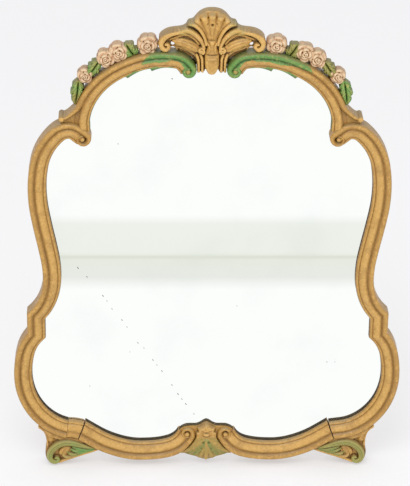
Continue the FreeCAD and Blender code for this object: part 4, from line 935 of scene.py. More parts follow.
class Relief:
    """Carved relief: heights over a grid of cells inside an outline, with upright sides."""

    def __init__(self, outline: Field, ground: float, cell: float = 1.0, low: float = 0.0,
                 fold: bool = False) -> None:
        """Lays the grid.

        Args:
            outline: closed outline (n, 2) in millimetres.
            ground: height of the uncarved ground.
            cell: size of a grid cell.
            low: height of the relief's back.
            fold: whether what is carved on the right is also carved on the left.
        """
        self.cell = cell
        lowest, highest = outline.min(axis=0) - cell, outline.max(axis=0) + cell
        xs = np.arange(lowest[0], highest[0] + cell, cell)
        zs = np.arange(lowest[1], highest[1] + cell, cell)
        self.grid = (len(zs), len(xs))
        self.where = np.stack(np.meshgrid(xs, zs), axis=-1).reshape(-1, 2)
        self.at = self.where.copy()
        if fold:
            self.at[:, 0] = np.abs(self.at[:, 0])
        loop = np.vstack([outline, outline[:1]])
        gap, _, self.foot = nearest(self.where, loop)
        self.edge = np.where(is_inside(self.where, outline), gap, -gap)
        self.height = np.full(len(self.where), float(ground))
        self.back = np.full(len(self.where), float(low))
        self.green = np.zeros(len(self.where))
        self.holes: Strokes = []

    def blend(self, height: Field, soft: float = 1.2) -> None:
        """Raises the relief to a height where that is higher, with a soft valley between."""
        gap = np.abs(self.height - height)
        self.height = np.maximum(self.height, height) + np.maximum(soft - gap, 0) ** 2 / (4 * soft)

    def ridge(self, rows: Rows, soft: float = 1.2, smooth: bool = True) -> Field:
        """Adds a rounded ridge.

        Args:
            rows: x, z, half width and top height along the ridge.
            soft: softness of the valley beside it.
            smooth: whether the rows are joined by a curve.

        Returns:
            The height of the ridge alone, far below the back where it isn't.
        """
        line = curve(rows) if smooth else np.array(rows, float)
        gap, share, _ = nearest(self.at, line[:, :2])
        spans = np.linalg.norm(np.diff(line[:, :2], axis=0), axis=1)
        at = np.concatenate([[0], np.cumsum(spans)]) / spans.sum()
        half, top = np.interp(share, at, line[:, 2]), np.interp(share, at, line[:, 3])
        inside = np.clip(1 - (gap / half) ** 2, 0, 1)
        height = np.where(gap < half, top - half * 0.9 * (1 - np.sqrt(inside)), -99.0)
        self.blend(height, soft)
        return height

    def mound(self, x: float, z: float, wide: float, tall: float, top: float, deep: float, turn: float = 0.0,
              soft: float = 1.2) -> Field:
        """Adds an oval mound.

        Args:
            x: its middle along X.
            z: its middle along Z.
            wide: its half length along its own axis.
            tall: its half width.
            top: height of its top.
            deep: fall from its top to its rim.
            turn: turn of its axis in degrees.
            soft: softness of the valley beside it.

        Returns:
            The height of the mound alone.
        """
        d = self.at - np.array([x, z])
        a, b = d @ direction(turn), d @ leftward(turn)
        inside = 1 - (a / wide) ** 2 - (b / tall) ** 2
        height = np.where(inside > 0, top - deep * (1 - np.sqrt(np.clip(inside, 0, 1))), -99.0)
        self.blend(height, soft)
        return height

    def carve(self, points: Rows, half: float, deep: float, smooth: bool = True) -> None:
        """Cuts a groove that runs out at both ends.

        Args:
            points: x and z along the groove.
            half: half of its width.
            deep: its depth.
            smooth: whether the points are joined by a curve.
        """
        line = curve(points) if smooth else np.array(points, float)
        gap, share, _ = nearest(self.at, line)
        fade = np.clip(np.minimum(share, 1 - share) * 6, 0.25, 1)
        self.height -= deep * fade * np.exp(-(gap / half) ** 2)

    def sink(self, x: float, z: float, half: float, deep: float) -> None:
        """Drills a soft round hollow."""
        gap = np.hypot(*(self.at - np.array([x, z])).T)
        self.height -= deep * np.exp(-(gap / half) ** 2)

    def round_edge(self, radius: float) -> None:
        """Rounds the rim over a radius."""
        near = np.clip(radius - np.maximum(self.edge, 0), 0, radius)
        self.height -= radius - np.sqrt(np.maximum(radius ** 2 - near ** 2, 0))

    def limit(self, highest: float | Field) -> None:
        """Keeps the relief below a height, one for all or one for each point."""
        self.height = np.minimum(self.height, highest)

    def _cavity(self) -> Field:
        """Measures how deep each point lies under its surroundings.

        Returns:
            From 0 on a ridge to 1 in a valley.
        """
        inside = (self.edge > -self.cell).astype(float).reshape(self.grid)
        height = self.height.reshape(self.grid)
        total = np.zeros(self.grid)
        for reach, weight in ((3, 0.16), (7, 0.1)):
            summed, counted = height * inside, inside.copy()
            for axis in (0, 1):
                summed = sum(np.roll(summed, k, axis) for k in range(-reach, reach + 1))
                counted = sum(np.roll(counted, k, axis) for k in range(-reach, reach + 1))
            total += weight * (summed / np.maximum(counted, 1) - height)
        return np.clip(0.32 + total, 0, 1).ravel()

    def build(self, body: Body) -> None:
        """Adds the relief as a closed solid: its carved face, its back and upright sides between them.

        Args:
            body: body that gets it.
        """
        rows, columns = self.grid
        # How far each point lies in a hollow; the lacquer darkens it there as glaze and as painted shade.
        hollow = self._cavity()
        middle = self.edge.reshape(rows, columns)
        centre = (middle[:-1, :-1] + middle[1:, :-1] + middle[:-1, 1:] + middle[1:, 1:]) / 4
        kept = centre > 0
        points = self.where.copy()
        for spot, radius in self.holes:
            gap = np.hypot(*(self.where - spot).T).reshape(rows, columns)
            core = (gap[:-1, :-1] + gap[1:, :-1] + gap[:-1, 1:] + gap[1:, 1:]) / 4
            kept &= core > radius
        used = np.zeros((rows, columns), int)
        for a in (0, 1):
            for b in (0, 1):
                used[a:rows - 1 + a, b:columns - 1 + b] += kept
        rim = ((used > 0) & (used < 4)).ravel()
        snap = rim & (np.abs(self.edge) < 1.3 * self.cell)
        points[snap] = self.foot[snap]
        for spot, radius in self.holes:
            d = self.where - spot
            gap = np.hypot(*d.T)
            ring = rim & (np.abs(gap - radius) < 1.3 * self.cell)
            points[ring] = spot + d[ring] / gap[ring, None] * radius
        number = np.full(rows * columns, -1)
        inside = np.flatnonzero(used.ravel())
        number[inside] = np.arange(len(inside))
        count = len(inside)
        height = np.maximum(self.height[inside], self.back[inside] + 1.5)
        top = shape(points[inside, 0], points[inside, 1], height)
        back = shape(points[inside, 0], points[inside, 1], self.back[inside])
        faces, indices = [], []
        edges: dict[tuple[int, int], int] = {}
        for i, j in zip(*np.nonzero(kept)):
            quad = [number[i * columns + j], number[i * columns + j + 1], number[(i + 1) * columns + j + 1],
                    number[(i + 1) * columns + j]]
            faces.append(tuple(quad))
            indices.append(0)
            for a, b in zip(quad, quad[1:] + quad[:1]):
                if edges.pop((b, a), None) is None:
                    edges[(a, b)] = 1
        front = len(faces)
        faces += [tuple(count + v for v in f[::-1]) for f in faces]
        indices += [1] * front
        for a, b in edges:
            faces.append((b, a, count + a, count + b))
            indices.append(0)
        layers = {"hollow": np.concatenate([hollow[inside], np.full(count, 0.75)]),
                  "green": np.concatenate([self.green[inside], self.green[inside]])}
        body.add(np.concatenate([top, back]), faces, layers, indices)


def scribed(outline: Field, lines: Strokes) -> Field:
    """Pushes an outline out of the mouldings.

    Args:
        outline: points of the outline.
        lines: middle line and width of each moulding.

    Returns:
        The moved points.
    """
    moved = outline.copy()
    for _ in range(2):
        for line, width in lines:
            gap, _, foot = nearest(moved, line)
            reach = width / 2 + SEAT
            near = gap < reach
            away = (moved[near] - foot[near]) / np.maximum(gap[near], 1e-6)[:, None]
            moved[near] = foot[near] + away * reach
    return moved


def both(points: Rows) -> Field:
    """Closed outline from its right half, which runs from the middle up to the middle."""
    half = np.array(points, float)
    return np.vstack([half, (half * [-1, 1])[-2:0:-1]])


def both_sides(line: Field, width: float) -> Strokes:
    """Middle line and width of a moulding on the right, then on the left."""
    return [(line, width), (line * [-1, 1], width)]


@dataclass
class Carvings:
    """The carved pieces that carry the shells and scrolls: crest, palmette and feet."""

    finishes: "Finishes"
    mouldings: Mouldings  # The frame's mouldings.
    hole: Pair = (71.5, 407.0)  # Middle of the hole pierced in the right wing (x, z).
    hole_radius: float = 3.6
    wing_start: float = 63.0  # Distance from the crest's middle at which the wings stand free of the arches.
    wing_back: float = 18.5  # Height up to which they are hollowed from behind.
    crest_top: float = 40.2  # Greatest height of the crest.
    palmette_top: float = 41.0  # Greatest height of the palmette.
    paint: Pair = (0.68, 0.54)  # How green the left and the right foot's roll still are.

    def __post_init__(self) -> None:
        """Notes the mouldings' lines and widths, to which the carvings are scribed."""
        made = self.mouldings
        self.materials = [self.finishes.gold, self.finishes.bare_wood]
        self.arch = both_sides(made.arch.points(), made.arch_width)
        self.rail = both_sides(made.rail.points(), made.rail_width)
        self.corner = [(made.lower.points(), made.stile_width), self.rail[0]]

    def build_crest(self) -> None:
        """Carves the crest: scallop shell, two horns, scrolled wings, neck, curls, drop and pillars."""
        half = [(0, 348.6), (5, 349.6), (9, 353), (11.3, 357), (13.2, 352.6), (16, 351.8), (26, 351.8),
                (27.6, 357), (27.6, 368), (28.5, 375), (31, 381), (36, 386), (44, 390.5), (52, 393.5),
                (60, 396.5), (68, 399.3), (74.5, 400), (79, 396), (84, 391.5), (90.5, 391), (95, 396),
                (98, 404.5), (97.6, 413), (94, 420.5), (87.5, 426.3), (79, 430.3), (70, 432.3), (60.7, 433.3),
                (53, 435), (47.6, 438.3), (45.2, 443), (42.5, 446.6), (38, 447.6), (34, 449.6), (30, 454.5),
                (24.5, 460.8), (17, 465.9), (9, 468.6), (0, 469.3)]
        face = curve(both(half), 4, closed=True)
        # Below the wings the wood is left on at a third of the depth and fitted to the arches.
        seat = [(x, z - 9 * (28 < x < 61 and z < 401)) for x, z in half]
        relief = Relief(scribed(curve(both(seat), 4, closed=True), self.arch), 22.0, 0.9, fold=True)
        relief.holes = [(self.hole * np.array([side.value, 1]), self.hole_radius) for side in Side]
        self._shell(relief)
        self._wing(relief)
        self._neck(relief)
        # The wings are hollowed from behind, so that light shows through the pierced holes.
        free = relief.at[:, 0] > self.wing_start
        relief.back[free & (relief.at[:, 1] < 416)] = self.wing_back
        relief.round_edge(2.6)
        relief.limit(np.where(is_inside(relief.where, face) | free, self.crest_top, 12.0))
        body = Body()
        relief.build(body)
        body.finish("carved_crest", self.materials, "gold_lacquer", replaces=["crest_shell"])

    @staticmethod
    def _shell(relief: Relief) -> None:
        """Carves the fan of flutes with its scalloped top.

        Args:
            relief: the crest.
        """
        d = relief.at - np.array([0, 404.0])
        r, turn = np.hypot(*d.T), np.degrees(np.arctan2(d[:, 0], d[:, 1]))
        flute = np.abs(np.cos(np.radians(turn) * 180 / 15.5)) ** 0.7
        base = np.interp(r, [4, 14, 30, 44, 52, 57, 61.5, 66], [30, 31, 30.5, 30, 28.5, 25.5, 22, 17])
        swell = np.interp(r, [6, 20, 40, 50, 56, 61, 65], [0.6, 1.2, 2.2, 3.8, 4.6, 3.4, 0.5])
        fan = np.where((turn < 39.5) & (d[:, 1] > 2), base + swell * flute, -99)
        relief.blend(fan, 1.0)
        for scallop in ((0, 458.5, 5.6, 6.8, 33.4, 6, 90), (14.4, 455.5, 5.8, 6.6, 33, 6, 75),
                        (26, 448.5, 4.6, 5.4, 32, 5, 58)):
            relief.mound(*scallop)
        for pit in ((7.4, 458.5, 1.5, 2.6), (20.8, 453.5, 1.5, 2.4), (0, 445, 2.4, 6),
                    (8.4, 447, 1.6, 3)):
            relief.sink(*pit)
        relief.ridge([(10.6, 408, 2.6, 35), (12.2, 416, 2.9, 36.5), (16.5, 427, 3.1, 37.5),
                      (23, 437.5, 3.3, 38), (31, 444.6, 3.5, 37.5), (41, 447.4, 3.6, 34)], 1.8)
        relief.carve([(8, 412), (11, 422), (17, 433), (24, 443)], 1.4, 2.0)
        relief.carve([(15.5, 414), (19.8, 425), (26, 434.5), (34, 441), (42, 443)], 1.6, 2.2)

    def _wing(self, relief: Relief) -> None:
        """Carves one wing: two rolls one after the other, the scroll at its tip and the lobe below.

        Args:
            relief: the crest.
        """
        relief.ridge([(14.6, 400, 3, 32), (17, 409, 3.8, 33.5), (22.5, 418.5, 4.4, 34.5),
                      (31, 427, 4.8, 34.5), (40, 432, 5, 33.5), (50, 433, 4.6, 31.5),
                      (58, 430.5, 3.6, 29)], 2.4)
        relief.ridge([(48, 426.5, 2.6, 29.5), (56, 430, 3.8, 32), (66, 430, 4.8, 33.5), (77, 427, 5.4, 34.5),
                      (86.5, 421, 5.6, 35), (92, 411.5, 5.4, 35), (91, 401.5, 5, 34.5), (84, 397, 4.4, 34),
                      (79, 401.5, 3.6, 33.5), (80.5, 407.5, 3, 33.5), (84.5, 407.5, 2.4, 34)], 2.0)
        relief.ridge([(24, 408, 3.4, 27.5), (31, 418, 4.2, 28.5), (41, 424.5, 4.4, 28.5),
                      (54, 424.5, 3.6, 27.5), (66, 419, 2.6, 26), (76, 415.5, 2, 25)], 3.0)
        relief.mound(43.5, 405.0, 26, 9.6, 32.5, 7.0, 24, 3.0)
        relief.mound(60.5, 409.0, 13, 7.0, 30.0, 5.0, 14, 3.0)
        relief.carve([(24, 400.5), (36, 409.3), (50, 414.3), (64, 416)], 1.6, 1.8)
        relief.carve([(31, 391), (42, 397.6), (55, 402.5), (68, 405)], 1.2, 1.3)
        relief.carve([(27, 394.5), (38, 403), (52, 409), (64, 411.5)], 1.1, 1.1)
        relief.carve([(21, 407), (28, 416), (38, 421), (52, 421.5), (66, 415)], 1.0, 1.6)
        relief.sink(*self.hole, 4.8, 4.5)
        # Traces of green are left on the shoulders of the wings and the tips of the horns.
        x, z = relief.at[:, 0], relief.at[:, 1]
        shoulder = 0.34 * (z > 424) * (x > 30) * (x < 60)
        relief.green = np.maximum(shoulder, 0.4 * (np.hypot(x - 42, z - 446) < 5))

    @staticmethod
    def _neck(relief: Relief) -> None:
        """Carves the neck, its curls, the drop and the pillars beside it.

        Args:
            relief: the crest.
        """
        x, z = relief.at[:, 0], relief.at[:, 1]
        width = np.interp(z, [386, 392, 400, 408, 416], [12.6, 12.2, 9.2, 8.6, 10.5])
        neck = np.where((x < width) & (z > 386) & (z < 416),
                        28 + 7.2 * np.sqrt(np.clip(1 - (x / width) ** 2, 0, 1)), -99)
        relief.blend(neck, 1.0)
        relief.ridge([(8.5, 412, 1.2, 36), (5.2, 404, 1.3, 36.5), (5.4, 397, 1.3, 36.5),
                      (8, 391, 1.2, 35)], 0.6)
        relief.mound(0, 411, 4.4, 4.4, 37.0, 3, 0)
        reach = np.where(z > 372, 13.0, 13.0 * np.sqrt(np.clip(1 - ((372 - z) / 24.5) ** 2, 0.001, 1)))
        drop = np.where((x < reach) & (z < 387.4), 27 + 11 * np.sqrt(np.clip(1 - (x / reach) ** 2, 0, 1))
                        * np.sqrt(np.clip(1 - ((z - 374) / 27) ** 2, 0, 1)), -99)
        relief.blend(drop, 0.6)
        relief.mound(0, 380.5, 9.6, 3.2, 39.0, 3, 0, 1.0)
        relief.carve([(-13, 388.7), (0, 388.4), (13, 388.7)], 0.9, 2.6, False)
        angles = np.radians(np.arange(-60, 400, 20))
        radii = np.linspace(6.2, 2.2, len(angles))
        relief.ridge([(19.6 - r * math.cos(a), 395.4 + r * math.sin(a), 1.9, 34.0)
                      for a, r in zip(angles, radii)], 0.5)
        relief.mound(19.6, 395.4, 2.4, 2.4, 35.5, 3)
        for foot, top in ((17.4, 18.2), (24, 25.6)):
            relief.ridge([(foot, 351.5, 2.5, 28.5), (foot, 362, 2.4, 29), (foot + 0.2, 371, 2.4, 29.5),
                          (top, 379, 2.8, 29.5), (top + 2.5, 386, 2.6, 28)], 1.4)
        relief.carve([(20.8, 352), (20.9, 364), (21.2, 376), (23, 384)], 0.9, 2.4)
        relief.carve([(14.2, 353), (14, 366), (14.4, 380), (15, 388)], 1.0, 3.2)

    def build_palmette(self) -> None:
        """Carves the palmette: small shell, bump and a fan of leaf ribs over the ends of the rail."""
        half = [(0, -459.5), (6, -458.6), (13, -456), (20, -452.6), (28, -450.6), (38, -448), (47, -446.4),
                (57, -444.8), (54, -440), (48, -435.5), (42, -431), (35, -426), (28, -419), (22, -411),
                (19, -403), (18, -394), (18.4, -391), (17.2, -389), (13, -386.6), (9.4, -383.9), (5.5, -381),
                (2.4, -379.4), (0, -378.9)]
        relief = Relief(scribed(curve(both(half), 4, closed=True), self.rail), 26.0, 0.8, PLINTH, fold=True)
        x, z = relief.at[:, 0], relief.at[:, 1]
        # The ground swells from the plinth's edge to the bump and falls again to the lower point.
        swell = np.interp(z, [-459, -450, -436, -420, -408, -398, -388, -380, -376],
                          [28, 32, 34.5, 35.5, 35, 34.5, 32.5, 28, 25])
        relief.blend(swell - 0.0035 * x ** 2, 0.5)
        for heading in (90, 57, 27):
            way = direction(heading)
            relief.ridge([(way[0] * r, -395.0 + way[1] * r, h, 36.5 - 0.1 * r)
                          for r, h in ((2, 1.4), (8, 2.3), (12.4, 3.2), (15, 2.6))], 0.6, False)
        relief.mound(0, -394.5, 5.6, 3.0, 37.0, 3, 0, 0.8)
        relief.mound(0, -401.5, 6.4, 4.4, 38.6, 5, 0)
        relief.sink(0.8, -397.8, 1.5, 2.6)
        relief.carve([(-9, -404.4), (0, -406.4), (9, -404.4)], 1.1, 2.2)
        ribs = ((-90, 49, 4.6, 0.1), (-74, 47.5, 4.2, 0.26), (-60, 47, 4, 0.52), (-47.5, 52, 4.2, 0.46),
                (-37.5, 60.5, 4.2, 0.34), (-29, 58, 2.6, 0.2))
        for heading, reach, wide, green in ribs:
            way, bow = direction(heading), leftward(heading)
            rows = []
            for share, h, top in ((0.1, 1.4, 36), (0.35, 2.4, 36.8), (0.62, 3.8, 36.8), (0.84, wide, 35.4),
                                  (0.99, 3.4, 32.5)):
                spot = way * reach * share - bow * 3.4 * math.sin(share * math.pi) * (heading > -89)
                rows.append((spot[0], -408.0 + spot[1], h, top - 0.1 * abs(spot[0])))
            own = relief.ridge(rows, 2.2)
            relief.green = np.where(own > relief.height - 1.2, green, relief.green)
            relief.carve([row[:2] for row in rows[1:]], 0.7, 0.5)
        relief.green = np.maximum(relief.green, 0.36 * (z < -408) * (np.abs(x - 22) < 22))
        relief.sink(5.6, -419.5, 2.4, 2.8)
        relief.sink(9.8, -433, 2.2, 1.6)
        # Towards the glass everything falls to the plinth, so that the glass mirrors the plinth alone.
        relief.limit(np.where(z > -398, 24.2 + 1.9 * np.maximum(relief.edge, 0), self.palmette_top))
        body = Body()
        relief.build(body)
        body.finish("carved_palmette", self.materials, "green_lacquer", replaces=["bottom_palmette"])

    def build_foot(self, side: Side) -> None:
        """Carves one foot: leaf roll over a hollow, ending in a curl, and the flare up to the moulding.

        Args:
            side: side of the mirror.
        """
        points = [(209, -424), (209, -438.4), (222, -443), (233, -446.8), (244, -450.6), (256, -454.8),
                  (268, -459.2), (279, -463.8), (289, -467.6), (298, -470.2), (306, -468.2), (311.6, -462),
                  (314.4, -454), (315.2, -445), (313.6, -434), (312.4, -423), (313.2, -411), (316, -400.5),
                  (320, -394), (324.5, -390.2), (328, -387), (326, -381), (312, -380), (296, -388),
                  (262, -402), (240, -412)]
        outline = scribed(curve(points, 4, closed=True), self.corner)
        relief = Relief(outline, 25.0, 0.8)
        relief.blend(np.where(nearest(relief.at, self.corner[0][0])[0] < 26, 30.0, -99.0), 5.0)
        relief.ridge([(333, -382, 5.5, 33), (325, -391, 5.2, 33), (318.5, -401, 4.6, 32),
                      (313.5, -414, 3.8, 31), (311.5, -427, 3, 30)], 3.0)
        relief.ridge([(306, -390, 14, 32.5), (305, -403, 11, 31.5), (305, -415, 7, 30)], 4.0)
        roll = [(218, -434.5, 2, 30.5), (232, -431, 3.8, 33.5), (247, -426.2, 5.4, 35.5),
                (262, -421.8, 6.4, 36.5), (277, -420.8, 7, 37), (291, -426.2, 7, 37),
                (301.5, -436.8, 6.6, 36.5), (306.4, -448.5, 6.2, 36), (303.5, -459.6, 5.6, 35.5),
                (295.6, -463.4, 4.6, 35), (290, -459, 3.6, 34.5), (291.5, -453.6, 2.8, 34),
                (295.5, -454.5, 2, 34.5)]
        own = relief.ridge(roll, 1.0)
        paint = self.paint[side is Side.RIGHT]
        relief.green = np.where(own > relief.height - 1.0, paint, relief.green)
        for off in (-0.45, 0.18):
            line = curve(roll, 6)[6:52]
            step = np.gradient(line[:, :2], axis=0)
            normal = np.stack([-step[:, 1], step[:, 0]], 1) / np.hypot(*step.T)[:, None]
            relief.carve(line[:, :2] + normal * line[:, 2:3] * off, 0.9, 1.2, False)
        relief.ridge([(212, -436.6, 2, 31), (228, -442.4, 2.6, 32), (250, -450, 2.8, 32),
                      (270, -457.4, 2.8, 32), (288, -464.6, 2.4, 32)], 1.6)
        leaves = [([(222, -438), (236, -438.6), (250, -435.4), (261, -432.5)], 3.6, 1.3),
                  ([(232, -441.8), (245, -442.8), (256, -440.6), (265, -437)], 3.6, 1.25),
                  ([(246, -446.6), (258, -448.2), (267, -446.4), (273, -442)], 3.5, 0.85),
                  ([(262, -452.4), (271, -454), (278, -451.6), (282, -446)], 3.2, 0.55)]
        for spots, wide, strength in leaves:
            rows = [(x, z, wide * w, top) for (x, z), w, top in
                    zip(spots, (0.8, 1, 0.9, 0.5), (31, 32.5, 32, 29.5))]
            own = relief.ridge(rows, 0.8)
            relief.green = np.where(own > relief.height - 0.6, min(1, paint * strength), relief.green)
            relief.carve(spots, 0.6, 0.8)
        # Inside the roll the carver left a shallow dish with a few gouge cuts round the curl.
        relief.mound(277, -441, 13, 9.5, 29.5, 2.5, -35, 2.0)
        relief.carve([(262, -430.5), (267, -437), (270, -444), (276, -450)], 1.2, 2.0)
        relief.carve([(271, -431), (278, -438), (282, -446), (285, -455)], 0.9, 1.3)
        relief.carve([(281, -432.5), (287, -439), (290, -447)], 0.9, 1.2)
        relief.round_edge(2.4)
        body = Body()
        relief.build(body)
        body.finish_on(side, "carved_foot", "foot", self.materials, "green_lacquer")


@dataclass
class Rose:
    """Rose carved in the solid: rings of cupped petals round a bud."""

    x: float  # Its middle, along X and Z.
    z: float
    radius: float
    turn: float = 0.0  # Turn of its outer petals in degrees.
    top: float = 33.0  # Height of its bud.
    low: float = 4.0  # Height of its back.
    petals: int = 5  # How many petals its outer ring has.

    def spot(self, radius: float, angle: float) -> Pair:
        """Point at a share of the rose's radius and an angle in degrees."""
        way = direction(angle) * radius * self.radius
        return self.x + float(way[0]), self.z + float(way[1])

    def outline(self) -> Field:
        """Draws the scalloped outline, no two lobes of one size.

        Returns:
            Its points (n, 2).
        """
        turns = np.arange(0, 360, 4.0)
        lobe = np.abs(np.cos(np.radians(self.petals / 2 * (turns - self.turn)))) ** 0.55
        uneven = 0.035 * np.sin(np.radians(2 * turns + 3 * self.turn)) + 0.02 * np.sin(np.radians(3 * turns))
        return np.array([self.spot(0.86 + 0.12 * l + u, a) for a, l, u in zip(turns, lobe, uneven)])

    def build(self, body: Body) -> None:
        """Adds the rose.

        Args:
            body: body that gets it.
        """
        relief = Relief(self.outline(), self.top - 16, 0.7, self.low)
        relief.mound(self.x, self.z, self.radius, self.radius, self.top - 6.0, 8.0)
        # Each ring: petals, radius and half width as shares, depth under the top, turn, fall at petal ends.
        rings = [(self.petals, 0.76, 0.2, 6.5, 0.0, 2.6), (4, 0.47, 0.15, 2.8, 31, 1.8),
                 (3, 0.21, 0.1, 0.6, 64, 0.8)]
        for count, radius, lip, under, shift, fall in rings:
            half = 180 / count
            for k in range(count):
                middle = self.turn + shift + 360 * k / count
                wide = 1 + 0.1 * math.sin(2.4 * k + self.turn)
                rows = []
                for v in (-1.0, -0.6, -0.2, 0.2, 0.6, 1.0):
                    inward = radius * wide * (1 - 0.2 * abs(v) ** 2.2) + (0.05 if v < 0 else -0.03) * abs(v)
                    thick = lip * self.radius * (1 - 0.35 * abs(v))
                    height = self.top - under - fall * v * v + 0.5 * math.sin(k + 3 * v)
                    rows.append((*self.spot(inward, middle + half * 0.98 * v), thick, height))
                relief.ridge(rows, 0.7)
                cut = [self.spot(radius + lip * 1.05, middle + half - 4),
                       self.spot(radius - lip * 0.7, middle + half + 3)]
                relief.carve(cut, 0.055 * self.radius, 2.4, False)
                relief.sink(*self.spot(radius - lip * 1.25, middle - 0.35 * half), 0.075 * self.radius, 2.2)
        relief.mound(*self.spot(0.03, 40), 0.11 * self.radius, 0.09 * self.radius, self.top + 0.2, 1.5)
        relief.round_edge(0.16 * self.radius)
        relief.build(body)


@dataclass
class Leaf:
    """Carved leaf with lobed edges, a rib and veins, on a solid back."""

    x: float  # Its middle, along X and Z.
    z: float
    heading: float  # Direction of its rib in degrees.
    length: float
    slim: float  # Its width as a share of its length.
    top: float = 28.0  # Height of its two swells.
    curl: float = 0.0  # How far its rib bends, as a share of its length.
    teeth: int = 3  # Lobes on each edge.
    green: float = 1.0  # How green its lacquer is.

    def spot(self, u: float, v: float) -> Pair:
        """Finds a point of the leaf.

        Args:
            u: share of its length along it, from -0.5 at its stalk to 0.5 at its tip.
            v: share of its half width across it.

        Returns:
            The point (x, z).
        """
        way, side = direction(self.heading), leftward(self.heading)
        across = v * self.length * self.slim / 2 + self.curl * self.length * (u * u - 0.25)
        point = np.array([self.x, self.z]) + way * u * self.length + side * across
        return float(point[0]), float(point[1])

    def outline(self) -> list[Pair]:
        """Draws the lobed outline.

        Returns:
            Its corners, once round from the stalk.
        """
        edge = [(-0.5, 0)]
        for a, b in self._lobes():
            full = 0.95 - 0.55 * abs((a + b) / 2 + 0.08) * 1.6
            edge += [(a + 0.3 * (b - a), full * 0.84), (a + 0.62 * (b - a), full),
                     (a + 0.94 * (b - a), full * 0.9), (b + 0.02, full * 0.66)]
        right = edge[1:]
        loop = edge + [(0.42, 0.3), (0.5, 0), (0.42, -0.3)] + [(u, -v) for u, v in right[::-1]]
        return [self.spot(u, v) for u, v in loop]

    def _lobes(self) -> list[Pair]:
        """Where each lobe starts and ends, as shares of the leaf's length."""
        spans = np.linspace(-0.4, 0.34, self.teeth + 1)
        return list(zip(spans, spans[1:]))

    def build(self, body: Body, lines: Strokes) -> None:
        """Adds the leaf.

        Args:
            body: body that gets it.
            lines: mouldings that the leaf is scribed to.
        """
        outline = scribed(curve(self.outline(), 3, closed=True), lines)
        relief = Relief(outline, self.top - 9, 0.8, 4.0)
        relief.green[:] = self.green
        for side in (-1, 1):
            rows = [self.spot(u, side * v) + (w * self.length * self.slim, self.top + t) for u, v, w, t in
                    ((-0.42, 0.25, 0.16, -4), (-0.2, 0.42, 0.24, -1), (0.05, 0.42, 0.24, 0),
                     (0.3, 0.28, 0.17, -2), (0.47, 0.05, 0.08, -5))]
            relief.ridge(rows, 1.0)
        relief.carve([self.spot(u, 0) for u in (-0.46, -0.2, 0.1, 0.4)], 1.3, 3.2)
        for side in (-1, 1):
            for a, b in self._lobes():
                relief.carve([self.spot(a - 0.06, 0.08 * side), self.spot(a + 0.4 * (b - a), 0.5 * side),
                              self.spot(a + 0.66 * (b - a), 0.86 * side)], 0.8, 1.5)
                relief.carve([self.spot(b - 0.1, 0.45 * side), self.spot(b, 0.75 * side)], 1.1, 2.6, False)
        relief.round_edge(2.0)
        relief.build(body)


@dataclass
class Garlands:
    """Roses and leaves on the arches."""

    finishes: "Finishes"
    mouldings: Mouldings  # The frame's mouldings.
    crest_half: float = 97.0  # Half width of the crest.
    clear: float = 40.0  # Length of arch past the crest that the top rose takes.
    top_rose: float = 117.3  # The top rose's middle along X.
    top_seat: float = 0.883  # Its height over the arch's middle line, as a share of the arch's width.

    def __post_init__(self) -> None:
        """Finds the run of the arch that carries the garland."""
        self.rose_materials = [self.finishes.rose, self.finishes.bare_wood]
        self.leaf_materials = [self.finishes.leaf, self.finishes.bare_wood]
        self.arch, self.width = self.mouldings.arch, self.mouldings.arch_width
        self.lines = [(self.arch.points(), self.width)]
        nodes = placed(ARCH_SHARES)
        self.start = Line(nodes[:3]).length + self.crest_half + self.clear - nodes[2][0]
        self.span = self.arch.length - self.start

    def spot(self, share: float, out: float) -> tuple[float, float, float]:
        """Finds a place on the garland.

        Args:
            share: share of the garland's run along the arch.
            out: distance out from the arch's middle line, as a share of its width.

        Returns:
            The point's x and z, and the arch's heading there.
        """
        point, heading = self.arch.at(self.start + share * self.span)
        point = point + out * self.width * leftward(heading)
        return float(point[0]), float(point[1]), heading

    def build(self, side: Side) -> None:
        """Builds the roses and leaves of one arch.

        Args:
            side: side of the mirror.
        """
        right = side is Side.RIGHT
        top_z = placed(ARCH_SHARES)[2][1] + self.top_seat * self.width
        roses = {"top_rose": [Rose(self.top_rose, top_z, 20.0, 18 if right else 62, 34.5, petals=6)],
                 "pair_rose": [Rose(*self.spot(0.122, 0.99)[:2], 18.6, 50 if right else 5, 34.0),
                               Rose(*self.spot(0.247, 0.99)[:2], 17.6, 95 if right else 130, 33.0)],
                 "low_rose": [Rose(*self.spot(0.477, 0.95)[:2], 15.6, 10 if right else 85, 32.5)]}
        for name, group in roses.items():
            body = Body()
            for rose in group:
                rose.build(body)
            body.finish_on(side, f"carved_{name}", name, self.rose_materials, "rose_lacquer", sharp=70)
        # Each leaf: share along, share out, turn from the arch's heading, and then Leaf's own sizes.
        leaves = {"bud_leaf": (0.02, 0.84, 76, 32.0, 1.02, 26.5, 0.03, 2, 0.62 if right else 0.78),
                  "garland_leaf": (0.383, 0.93, -14, 37.0, 0.72, 28.0, 0.05, 3, 0.5 if right else 0.76),
                  "end_leaf": (0.637, 0.76, -21, 49.0, 0.58, 29.0, -0.1 if right else 0.06, 3,
                               0.92 if right else 0.66)}
        for name, (share, out, turn, *sizes) in leaves.items():
            x, z, heading = self.spot(share, out)
            body = Body()
            Leaf(x, z, heading + turn, *sizes).build(body, self.lines)
            body.finish_on(side, f"carved_{name}", name, self.leaf_materials, "green_lacquer")


def linear(code: str) -> tuple[float, float, float, float]:
    """Linear colour of an sRGB hex code such as "C8A05A"."""
    values = [int(code[i:i + 2], 16) / 255 for i in (0, 2, 4)]
    return tuple(v / 12.92 if v <= 0.04045 else ((v + 0.055) / 1.055) ** 2.4 for v in values) + (1.0,)


# Settings that hold unless a call says otherwise: smooth steps between ranges, and mixes of colours.
USUAL = {"MapRange": {"interpolation_type": "SMOOTHSTEP"}, "Mix": {"data_type": "RGBA"}}


